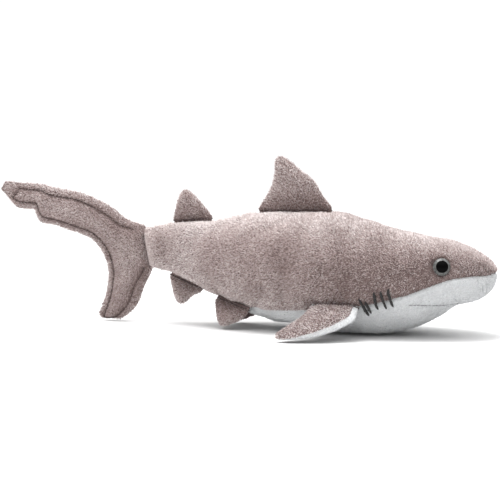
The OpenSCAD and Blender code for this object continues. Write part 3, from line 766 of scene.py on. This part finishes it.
def bodyHeld(points):      # where the seams and the sewn-on fins hold the body's cloth back
    folded = onRight(points)
    grips = [strength * nearness(folded if line is seamLines[0][0] else points, line, 4)
             for line, strength in seamLines]
    grips += [nearness(folded, line, 5) for line in rootLines]
    grips += [nearness(points, bothHalves(mouthHalf), 3), fade(np.linalg.norm(folded - eyeSpot, axis=1), 7)]
    return np.clip(np.maximum(np.max(grips, axis=0), points[:, 0] < seamX + 5), 0, 1)


def bodyRows(start, count):
    tail = shape["tailRound"] * (np.arange(10) / 10)**2
    middle = np.linspace(shape["tailRound"], shape["noseStart"], count, endpoint=False)
    front = mix(shape["noseStart"], 1, np.sin(np.radians(np.linspace(0, 90, 18))))
    rows = np.concatenate([tail, middle, front])
    return np.concatenate([[start], rows[rows > start + 0.002]]) if start > 0 else rows


def stuffBody(around=48):
    rows = np.concatenate([bodyRows(0, 46)[::2], [1.0]])
    form = bodyPoint(rows[:, None], np.linspace(0, 360, around, endpoint=False)[None], shape["pile"])
    return stuff("body", form, ringFaces(len(rows), around), bodyHeld, 5.5, 4.0, 0.03)


bodyStuffing = stuffBody()

# the cloth's relief, in millimetres: (size, height) of lumps and puckers, and the groove at a seam
relief = {"broad": (26, 0.45), "small": (11, 0.22), "pucker": (5, 0.35), "puckerReach": 7, "flat": 6,
          "groove": 1.3, "grooveWidth": 1.5, "rootDepth": 0.9, "rootWidth": 3.2, "push": 1.6, "giveBack": 0.75}
# soft folds pulled into the cloth: place and angle at each end, depth and width in millimetres
folds = [
    (0.350, 142, 0.385, 108, 0.9, 3.2), (0.300, 150, 0.345, 118, 0.7, 4.0), (0.235, 150, 0.215, 105, 0.6, 4.5),
    (0.540, 112, 0.575, 84, 0.6, 4.0), (0.620, 108, 0.640, 80, 0.5, 3.5), (0.045, 40, 0.085, 130, 0.5, 3.5),
    (0.440, 118, 0.470, 84, 0.5, 5.0), (0.320, 12, 0.290, 48, 0.5, 4.0), (0.560, 14, 0.600, 42, 0.5, 4.0)]
# how much lighter (+) or darker (-) the body's grey pile is drawn: patches and pale are tone, the rest is painted
# light and shade: a lit top, tilt and rear, painted shade on the cheek, in the seam, at the fin roots, in the folds
# and in the crease round the eye, and painted light on the underside
greyToneAndPaintedLight = {"top": 0.40, "tilt": 0.10, "patches": 0.12, "rear": 0.14, "cheekShade": -0.32, "seam": -0.25,
            "roots": -0.25, "underside": 0.26, "folds": -0.16, "eyeCreaseShade": -0.8, "pale": -0.1}
greyGrain = {"least": 0.8, "front": 1.0, "underside": 0.5}


def clothRelief(points, normals, gap, seed):     # gap: distance to the nearest seam
    size = lambda name, extra: relief[name][1] * hills(points, relief[name][0], seed + extra)
    lumps = (size("broad", 0) + size("small", 1)) * (1 - fade(gap, relief["flat"]))
    puckers = size("pucker", 2) * fade(gap, relief["puckerReach"])
    groove = -relief["groove"] * fade(gap, relief["grooveWidth"])
    return points + (lumps + puckers + groove)[..., None] * normals


def lieOnFloor(points, height=0.5):      # the underside spreads flat where it rests
    z = points[..., 2]
    soft = np.where(z < height + 2, height + 2 * np.exp((z - height - 2) / 2), z)
    points = points.copy()
    points[..., 2] = np.where(z < height + 2, np.maximum(soft, height), z)
    return points


def creasesOn(folded, left):
    creases = np.zeros(folded.shape[:-1])
    t = np.linspace(0, 1, 9)
    for place0, angle0, place1, angle1, depth, width in folds:
        places = mix(place0, place1, t) + (0.012 if left else 0)      # the sides aren't folded quite alike
        crease = bodyPoint(places, mix(angle0, angle1, t), shape["pile"])
        creases = np.maximum(creases, depth * nearness(folded, crease, width))
    return creases


def greyLook(place, angle, gap, folded, eyeGap, up, roots, creases):      # painted light and shade, tone and grain of the grey pile
    t = greyToneAndPaintedLight
    # painted light: the pile lighter where it faces up, as lit from above; the patches are random tone
    tint = t["top"] * np.clip(up, 0, 1)**2.5 + t["tilt"] * np.clip(up, -0.3, 1) + t["patches"] * hills(folded, 24, 5)
    # painted sheen: the rear of the body lighter
    tint += t["rear"] * np.clip((0.5 - place) / 0.3, 0, 1)
    # painted shade on the lower side of the head
    tint += t["cheekShade"] * fade(place - 0.75, 0.18) * (1 - 0.9 * np.clip(up, 0, 1))
    # painted shade in the seam groove, at the fin roots and in the folds
    tint += t["seam"] * fade(gap, 2.0) * (angle > 20) + t["roots"] * roots + t["folds"] * creases
    # painted light on the downward-facing underside, from the gills back
    tint += t["underside"] * np.clip(0.1 - up, 0, 1) * np.clip((0.66 - place) / 0.08, 0, 1)
    # painted shade in the crease round the eye, on its upper rear side
    behind = np.clip(0.6 + 0.08 * (folded[..., 2] - folded[..., 0] - eyeSpot[2] + eyeSpot[0]), 0, 1)
    tint += t["eyeCreaseShade"] * behind * fade(eyeGap - 7.2, 1.4)
    forward = np.clip((place - 0.5) / 0.2, 0, 1) * (1 - 0.8 * np.clip(up, 0, 1))
    grain = greyGrain["least"] + greyGrain["front"] * forward + greyGrain["underside"] * np.clip(0.35 - up, 0, 1)
    return tint, grain


def bodyPanel(name, places, first, last, columns, colour, left=False):
    t = samples(columns, 0.6)
    angle = first(places)[:, None] + (last(places) - first(places))[:, None] * t
    place = np.broadcast_to(places[:, None], angle.shape)
    points, normals = bodyPoint(place, angle, shape["pile"]), bodyNormal(place, angle)
    steps = np.linalg.norm(np.diff(points, axis=1), axis=2)
    fromFirst = np.concatenate([np.zeros((len(places), 1)), np.cumsum(steps, 1)], 1)
    gap = np.minimum(fromFirst, fromFirst[:, -1:] - fromFirst)
    flipped = mirrored if left else (lambda p: p)
    push = flipped(evened(settled(flipped(points), bodyStuffing, relief["push"]), 3))
    # the mean push is taken off again, which keeps the body's size
    push = push - relief["giveBack"] * np.linalg.norm(push, axis=-1, keepdims=True).mean() * normals
    folded = onRight(points)
    points = clothRelief(points + push, normals, gap, 3 if left else 1)
    eyeGap = np.linalg.norm(folded - eyeSpot, axis=-1)
    creases = creasesOn(folded, left)
    roots = np.max([nearness(folded, line, relief["rootWidth"]) for line in rootLines], axis=0)
    sunk = 0.9 * fade(eyeGap, 6.6, 6) + 1.2 * fade(eyeGap - 6.5, 1.0) + relief["rootDepth"] * roots
    sunk = sunk + 2.4 * creases + mouth["depth"] * nearness(folded, mouthHalf, 1.1)
    points = lieOnFloor(points - sunk[..., None] * normals)
    cover = np.clip((eyeGap - 5.6) / 1.0, 0, 1) * np.clip((points[..., 2] - 0.9) / 1.2, 0, 1)
    for path in gillPaths:
        cover = cover * (1 - 0.75 * nearness(folded, path, 0.9))
    cover = cover * (1 - 0.5 * nearness(folded, mouthHalf, 0.9))
    if colour == "grey":
        tint, grain = greyLook(place, angle, gap, folded, eyeGap, normals[..., 2], roots, creases)
    else:
        tint, grain = greyToneAndPaintedLight["pale"] + 0 * gap, 0.8 + 0 * gap
    long = (1 if colour == "grey" else 0.8) * (0.75 + 0.25 * np.clip(gap / 3, 0, 1))
    long = long * (0.55 + 0.45 * np.clip((eyeGap - 6) / 5, 0, 1))
    nap = unit(bodyPoint(np.clip(place - 0.004, 0, 1), angle) - bodyPoint(np.clip(place + 0.004, 0, 1), angle))
    nap = unit(nap + np.array([0, 0, -0.25 if colour == "grey" else 0]))
    made = meshObject(name, flipped(points), gridFaces(len(places), columns, flip=not left))
    pointValues(made, nap=flipped(nap), cover=cover, long=long, tint=tint, grain=grain)
    weld(made)
    return made


def finishCloth(made, colour, nodes, body="body", bend=None, thickness=1.4, seed=1):
    made.data.materials.append(clothFinish[colour])
    hair = growPile(made.name + "Pile", made, colour, seed)
    thicken(made, thickness)
    dropLayers(made, *clothLayers)
    fasten(made, body, bend)
    fasten(hair, body, bend)
    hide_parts(*nodes)


def samples(count, crowd):      # from 0 to 1, closer together at both ends
    t = np.linspace(0, 1, count)
    return mix(t, (1 - np.cos(np.pi * t)) / 2, crowd)


allRows, bellyRows = bodyRows(0, 110), bodyRows(0.24, 110)
sideRight = bodyPanel("sidePanelRight", allRows, zero, seamAngle, 60, "grey")
sideLeft = bodyPanel("sidePanelLeft", allRows, zero, seamAngle, 60, "grey", left=True)
belly = bodyPanel("bellyPanel", bellyRows, seamAngle, lambda u: 360 - seamAngle(u), 64, "pale")
finishCloth(sideRight, "grey", ["side_panel_right", "body_fill"], seed=11)
finishCloth(sideLeft, "grey", ["side_panel_left"], seed=12)
finishCloth(belly, "pale", ["belly_panel"], seed=13)
print("body made")

# the fins' cloth: the topstitch runs inside the tail's edges and stops at the body
topstitch = {"inset": 5, "frontInset": 7, "root": (0.33, 0.53), "depth": 1.3}
# lightness of the fins' pile: base tones fin by fin, and painted light and shade: a painted highlight along the
# edges and the tail's rim, painted shade at the roots, over the tail's hem band, in its stitch groove and towards
# its root and bottom; and how far round the pectoral's front edge the pale cloth comes
finToneAndPaintedLight = {"base": 0.12, "rim": 0.12, "root": -0.42, "anal": 0.22, "pelvic": -0.12, "pectoral": (0.08, 0.15),
           "tail": 0.26, "tailRim": 0.18, "tailHem": -0.28, "tailStitch": -0.3, "tailRoot": -0.2, "tailLow": -0.15,
           "pale": 0.15}
wrap = 0.10
sideways = np.array([1, 0, 1])      # leaves out how thick the fin is


def stitchPath(side):       # runs round the fin from one end of the root to the other
    u = np.linspace(0, 1, 90)
    runs = []
    for edge, inset in enumerate((topstitch["inset"], topstitch["frontInset"])):
        w = mix(inset / tailFin["length"], 1 - inset / tailFin["length"], u)
        run = finEdges(tailFin, u, inset)[edge]
        edgeRear, edgeFront = finEdges(tailFin, w, 0)
        across = np.linalg.norm(run - edgeRear, axis=1) / np.linalg.norm(edgeFront - edgeRear, axis=1)
        height = (tailFin["thickness"] / 2 - 0.5) * bulge(w) * bulge(across)
        runs.append(np.stack([run[:, 0], side * height, run[:, 1]], -1))
    rear, front = runs
    return np.vstack([front[u < topstitch["root"][0]][::-1], rear, front[u > topstitch["root"][1]][::-1]])


def finForm(fin, us, vs):      # both faces of a fin as one closed grid
    near, far = (finPoint(fin, us[:, None], vs[None], side) for side in (1, -1))
    points = np.concatenate([near, far[:, -2:0:-1]], 1)
    n = points.shape[1]
    ends = [tuple(range(n)), tuple(range((len(us) - 1) * n, len(us) * n))]
    return points, ringFaces(len(us), n) + ends


def tailLook(points, normals, gap, us, stitches):      # the grooved tail cloth and its pile, with painted light and shade
    near, wide = (nearness(points * sideways, stitches * sideways, width) for width in (1.0, 2.2))
    room = np.minimum(1, np.abs(points[..., 1]) / 2.5)
    points = points - (topstitch["depth"] * wide * room)[..., None] * normals
    points = np.where(points[..., :1] > seamX - 1, points * np.array([1, 0.6, 1]), points)      # slim at the root
    run = np.gradient(finPoint(tailFin, us, np.full(len(us), 0.5), 0), axis=0) * np.sign(us - 0.43)[:, None]
    nap = unit(np.broadcast_to(unit(run)[:, None], points.shape) + np.array([-0.6, 0, 0]))
    rim, hem = fade(gap, 3.0), nearness(points * sideways, stitches * sideways, 7.0)
    # painted highlight on the puffy rim, painted shade over the hem band inside the topstitch and in its groove
    tint = finToneAndPaintedLight["tail"] + finToneAndPaintedLight["tailRim"] * rim + finToneAndPaintedLight["tailHem"] * hem + finToneAndPaintedLight["tailStitch"] * near
    # painted shade towards the body and towards the bottom
    tint += finToneAndPaintedLight["tailRoot"] * np.exp(-np.maximum(seamX - points[..., 0], 0) / 12)
    tint += finToneAndPaintedLight["tailLow"] * np.clip((30 - points[..., 2]) / 30, 0, 1)
    return points, {"nap": nap, "cover": 1 - 0.85 * near, "long": 1 - 0.3 * near, "tint": tint,
                    "grain": 0.9 + 0.5 * rim}


def finLook(key, fin, points, gap):
    height, rim = (points - fin["start"]) @ fin["out"], fade(gap, 3.0)
    # painted highlight along the edges and painted shade near the root; the pectoral keeps only the edge highlight
    tint = finToneAndPaintedLight["base"] + finToneAndPaintedLight["rim"] * rim + finToneAndPaintedLight["root"] * np.exp(-np.maximum(height, 0) / 7)
    tint, grain = tint + (0 if key == "pectoral" else finToneAndPaintedLight.get(key, 0)), 1.1 + 0.5 * rim
    if key == "pectoral":
        tint, grain = finToneAndPaintedLight[key][0] + finToneAndPaintedLight[key][1] * rim, grain + 0.9
    nap = np.broadcast_to(unit(0.8 * fin["out"] - 0.6 * fin["along"]), points.shape)
    return points, {"nap": nap, "cover": np.clip((height + fin["bow"] + 1) / 1.5, 0, 1),
                    "long": np.ones(gap.shape), "tint": tint, "grain": grain}


def makeFinCloth(key, body, faces, seed, left=False):      # faces: name, side, what it stands for, colour, reach
    isTail = key == "tail"
    fin = tailFin if isTail else sewnFins[key]
    us = samples(150, 0.5) if isTail else np.concatenate([np.linspace(-1, 0, 6)[:-1], samples(34, 0.5)])
    vs = samples(34 if isTail else 40, 0.7)
    stitches = [stitchPath(1), stitchPath(-1)] if isTail else []

    def held(points):
        edges = [finPoint(fin, us, np.full(len(us), v), 1) for v in (0.0, 1.0)]
        grip = np.max([nearness(points, line, 1.8) for line in edges + stitches], axis=0)
        atRoot = points[:, 0] > seamX - 3 if isTail else ((points - fin["start"]) @ fin["out"]) < 1.0
        return np.maximum(grip, atRoot)

    form, formFaces = finForm(fin, us[::3] if isTail else us[::2], vs[::3])
    stuffing = stuff(key, form, formFaces, held, 3.0 if isTail else 2.5, 3.0, 0.02)
    flipped = mirrored if left else (lambda p: p)
    made = []
    for name, side, nodes, colour, (start, end) in faces:
        # start to end round the fin: 0 to 1 on its own face, past 1 on the other face
        t = mix(start, end, vs)
        v, face = np.where(t > 1, 2 - t, t), np.where(t > 1, -side, side)
        points = finPoint(fin, us[:, None], v[None], face[None, :])
        normals = unit(np.cross(np.gradient(points, axis=0), np.gradient(points, axis=1)))
        flip = (normals[len(us) // 2, len(vs) // 3] @ (fin["across"] * side)) < 0
        normals = -normals if flip else normals
        push = evened(settled(points, stuffing, 1.5), 2)
        push[:, 0] = 0
        gap = np.minimum(*[np.linalg.norm(points - edge, axis=2) for edge in (points[:, :1], points[:, -1:])])
        lumps = 0.25 * hills(points, 9, seed) * (1 - fade(gap, 4))
        points = points + push + lumps[..., None] * normals
        points, look = (tailLook(points, normals, gap, us, stitches[0]) if isTail
                        else finLook(key, fin, points, gap))
        if colour == "pale":
            look["tint"], look["long"] = np.full(gap.shape, finToneAndPaintedLight["pale"]), 0.65 * look["long"]
        look["nap"] = flipped(look["nap"])
        cloth = meshObject(name, flipped(lieOnFloor(points, 0.6)), gridFaces(len(us), len(vs), flip != left))
        pointValues(cloth, **look)
        weld(cloth)
        made.append(cloth)
    if isTail:
        middle = (tailBottom + tailTop) / 2
        bend = [middle - 2.5 * tailBack, middle + 5.0 * tailBack]
    else:
        middle = fin["start"] + fin["root"] / 2 * fin["along"]
        bend = [flipped(middle - 1.5 * fin["out"]), flipped(middle + 4.5 * fin["out"])]
    bend = [tuple(p * mm) for p in bend]
    for i, (cloth, (_, _, nodes, colour, _)) in enumerate(zip(made, faces)):
        finishCloth(cloth, colour, nodes, body, bend, thickness=1.0, seed=seed + i)
    return bend


def greyFace(name, side, *nodes):
    return name, side, nodes, "grey", (0.0, 1.0)


for key, word, side, seed in (("firstDorsal", "first_dorsal", -1, 21), ("secondDorsal", "second_dorsal", -1, 31),
                              ("anal", "anal", 1, 41)):
    makeFinCloth(key, word + "_fin", [greyFace(key + "Right", side, word + "_panel_right", word + "_fill"),
                                      greyFace(key + "Left", -side, word + "_panel_left")], seed)
for hand in ("right", "left"):
    end, left = hand.capitalize(), hand == "left"
    makeFinCloth("pelvic", "pelvic_fin_" + hand, [
        greyFace("pelvicOuter" + end, 1, "pelvic_outer_panel_" + hand, "pelvic_fill_" + hand),
        greyFace("pelvicInner" + end, -1, "pelvic_inner_panel_" + hand)], 51, left)
    makeFinCloth("pectoral", "pectoral_fin_" + hand, [
        ("pectoralTop" + end, 1, ["pectoral_top_panel_" + hand, "pectoral_fill_" + hand], "grey", (0.0, 1 - wrap)),
        ("pectoralUnder" + end, -1, ["pectoral_under_panel_" + hand], "pale", (0.0, 1 + wrap))], 61, left)
tailBend = makeFinCloth("tail", "tail_fin", [
    greyFace("tailFinRight", -1, "tail_fin_panel_right", "tail_fin_fill"),
    greyFace("tailFinLeft", 1, "tail_fin_panel_left")], 71)
print("fins made")

# threads: lengths in millimetres, slant and jitter in radians
threads = {
    "topstitch": {"Spacing": 2.9, "Length": 2.8, "Thickness": 0.95, "Slant": 0.0, "Jitter": 0.05, "Seed": 5},
    "gill": {"Spacing": 1.1, "Length": 5.0, "Thickness": 1.65, "Slant": 0.2, "Jitter": 0.2, "Seed": 8},
    "looseGill": {"Spacing": 2.2, "Length": 4.0, "Thickness": 1.05, "Slant": 0.42, "Jitter": 0.3, "Seed": 4},
    "mouth": {"Spacing": 2.6, "Length": 2.7, "Thickness": 0.7, "Slant": 0.0, "Jitter": 0.08, "Seed": 2},
    "closing": {"Spacing": 2.2, "Length": 3.0, "Thickness": 0.6, "Slant": 0.9, "Jitter": 0.15, "Seed": 4},
    "root": {"Spacing": 2.0, "Length": 2.2, "Thickness": 0.8, "Slant": 0.25, "Jitter": 0.1, "Seed": 6},
    "tailRoot": {"Spacing": 2.2, "Length": 2.4, "Thickness": 0.9, "Slant": 0.2, "Jitter": 0.1, "Seed": 7},
}

for hand, side in (("right", -1), ("left", 1)):
    path = stitchPath(side) * np.array([1, 0.62, 1])      # sunk into its groove
    ups = np.broadcast_to(np.array([0, side, 0.0]), path.shape)
    thread = sew("topstitch" + hand.capitalize(), [path], [ups], brownThread, threads["topstitch"])
    fasten(thread, "tail_fin", tailBend, ["tail_fin_topstitch_" + hand])

for hand in ("right", "left"):
    paths, ups = ([mirrored(p) if hand == "left" else p for p in lines] for lines in (gillPaths, gillUps))
    # long satin stitches side by side, with a few loose ones that cross them
    thread = sew("gillStitches" + hand.capitalize(), [p[2:-4] for p in paths], [up[2:-4] for up in ups],
                 blackThread, threads["gill"])
    loose = sew("looseStitches", [p[4:-5] for p in paths], [up[4:-5] for up in ups],
                blackThread, threads["looseGill"])
    edited(thread, lambda work: work.from_mesh(loose.data))
    bpy.data.objects.remove(loose)
    fasten(thread, nodes=["gill_stitches_" + hand])

mouthUps = bothHalves(bodyNormal(mouthPlaces, mouthAngles))
thread = sew("mouthStitch", [bothHalves(mouthHalf) - 0.1 * mouthUps], [mouthUps], paleThread, threads["mouth"])
fasten(thread, nodes=["mouth_stitch"])

closing = np.linspace(0.36, 0.48, 20)      # where the body was filled and sewn shut by hand
line = mirrored(bodyPoint(closing, seamAngle(closing), shape["pile"] - 0.2))
ups = mirrored(bodyNormal(closing, seamAngle(closing)))
thread = sew("closingStitch", [line], [ups], paleThread, threads["closing"])
fasten(thread, nodes=["closing_stitch"])

rootNodes = {"firstDorsal": "first_dorsal_root_seam", "secondDorsal": "second_dorsal_root_seam",
             "anal": "anal_root_seam", "pelvic": "pelvic_root_seam_", "pectoral": "pectoral_root_seam_"}
for key, fin in sewnFins.items():
    ends = np.linspace(0.02, 0.98, 24)[:, None]
    for hand in (("right", "left") if key in ("pelvic", "pectoral") else ("",)):
        lines, ups = [], []
        for side in (-1, 1):
            base = fin["start"] + ends * fin["root"] * fin["along"]
            width = fin["thickness"] / 2 * 0.5 * bulge(ends)
            p = base - (fin["bow"] * (1 - bulge(ends) * 0.9) + 0.2) * fin["out"] + side * width * fin["across"]
            up = np.broadcast_to(fin["out"] + side * fin["across"], p.shape)
            lines.append(mirrored(p) if hand == "left" else p)
            ups.append(mirrored(up) if hand == "left" else up)
        thread = sew(key + "RootSeam" + hand.capitalize(), lines, ups, brownThread, threads["root"])
        fasten(thread, nodes=[rootNodes[key] + hand])

ends = np.linspace(0.03, 0.97, 20)[:, None]
lines = [tailBottom + ends * tailRoot * tailAxis + np.array([0.3, side * 1.6, 0]) for side in (-1, 1)]
ups = [np.broadcast_to(np.array([-1.0, side, 0]), lines[0].shape) for side in (-1, 1)]
thread = sew("tailRootSeam", lines, ups, softThread, threads["tailRoot"])
fasten(thread, nodes=["tail_root_seam"])
print("threads made")


def hazy(tree, shader, scale, low, high):      # uneven polish
    roughness = addNode(tree, "ShaderNodeMapRange", {"Value": flecks(tree, scale), "To Min": low, "To Max": high})
    tree.links.new(roughness.outputs[0], shader.inputs["Roughness"])


ringMaterial, tree, shader = newMaterial("grey eye ring", (0.08, 0.08, 0.078), 0.18, {"Specular IOR Level": 0.28})
twoTone(tree, shader, flecks(tree, 700, 3), (0.05, 0.05, 0.048), (0.12, 0.121, 0.117), (0.35, 0.7))
pupilMaterial, tree, shader = newMaterial("black pupil", (0.002, 0.002, 0.002), 0.06, {"Specular IOR Level": 0.03})
hazy(tree, shader, 400, 0.04, 0.12)
washer, tree, shader = newMaterial("washer plastic", (0.75, 0.75, 0.72), 0.45)
hazy(tree, shader, 300, 0.35, 0.6)


def lathe(name, profile, left, segments=56):
    turns = np.linspace(0, 2 * math.pi, segments, endpoint=False)
    profile = np.array(profile, float)
    rings = np.stack([profile[:, None, 0] * np.cos(turns), profile[:, None, 0] * np.sin(turns),
                      np.broadcast_to(profile[:, 1:2], (len(profile), segments))], -1)
    points = rings @ eyeTurn.T + eyeSpot
    made = meshObject(name, mirrored(points) if left else points, ringFaces(len(profile), segments))
    weld(made)
    edited(made, lambda work: bmesh.ops.recalc_face_normals(work, faces=work.faces))
    return made


def domeHeight(r):
    ball = ((eye["diameter"] / 2)**2 + eye["bulge"]**2) / (2 * eye["bulge"])
    return eye["bulge"] - ball + math.sqrt(ball * ball - r * r) - eye["sink"]


# radius and height: the ring and its shank in one, and the pupil set in its top
outer, pupilRadius = eye["diameter"] / 2, eye["pupil"] / 2
seat = domeHeight(pupilRadius) - 0.12
ringProfile = [(0, -9), (1.5, -9), (1.6, -8.8), (1.6, -0.7), (outer - 0.3, -0.7), (outer, -0.5)]
ringProfile += [(r, domeHeight(r) + 0.05) for r in np.linspace(outer, pupilRadius + 0.1, 14)]
ringProfile += [(pupilRadius + 0.02, seat), (0, seat)]
pupilProfile = [(0, seat + 0.02), (pupilRadius - 0.02, seat + 0.02)]
pupilProfile += [(r, domeHeight(r) + 0.12) for r in pupilRadius * np.cos(np.linspace(0.1, math.pi / 2, 14))]
for hand in ("right", "left"):
    for part, profile, material, slot, node in (("Ring", ringProfile, ringMaterial, "eye_grey", "eye_"),
                                                ("Pupil", pupilProfile, pupilMaterial, "eye_black", "eye_pupil_")):
        piece = lathe("eye" + part + hand.capitalize(), profile, hand == "left")
        piece.data.materials.append(material)
        fasten(piece, nodes=[node + hand])
    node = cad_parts["eye_washer_" + hand]
    if not node.material_slots:
        node.data.materials.append(washer)
    for place in node.material_slots:
        place.material = washer
print("eyes made")

light = {
    # white at the horizon, dimmer walls, a wide bright ceiling; places are sines of the height angle
    "sky": [(0.0, 0.50), (0.09, 0.50), (0.16, 0.22), (0.45, 0.25), (0.75, 1.0)], "strength": 2.1,
    "lamps": {"key": (22.0, 0.8, (-0.15, -0.05, 1.3)), "fill": (0.3, 1.0, (0.9, -1.0, 0.8))},
    "floor": (0.68, 0.68, 0.68), "floorRadius": 12, "floorHeight": -0.0006,
}


def makeStage():
    data = bpy.data.meshes.new("floor")
    radius, height = light["floorRadius"], light["floorHeight"]
    ring = [(radius * math.cos(a), radius * math.sin(a), height)
            for a in np.linspace(0, 2 * math.pi, 64, endpoint=False)]
    data.from_pydata(ring, [], [tuple(range(64))])
    data.materials.append(newMaterial("pale floor", light["floor"], 0.9)[0])
    shown("floor", data)
    world = scene.world = bpy.data.worlds.new("studio")
    world.use_nodes = True
    tree = world.node_tree
    height = addNode(tree, "ShaderNodeSeparateXYZ", {0: tree.nodes.new("ShaderNodeTexCoord").outputs["Generated"]})
    ramp = addNode(tree, "ShaderNodeValToRGB", {"Fac": height.outputs["Z"]})
    while len(ramp.color_ramp.elements) < len(light["sky"]):
        ramp.color_ramp.elements.new(0.5)
    for element, (place, value) in zip(ramp.color_ramp.elements, light["sky"]):
        element.position, element.color = place, (value, value, value, 1)
    background = tree.nodes["Background"].inputs
    tree.links.new(ramp.outputs["Color"], background["Color"])
    background["Strength"].default_value = light["strength"]
    for name, (power, size, place) in light["lamps"].items():
        lamp = bpy.data.lights.new(name, "AREA")
        lamp.energy, lamp.size = power, size
        aimed(name, lamp, place, Vector((0, 0, 0.05)) - Vector(place))


makeStage()
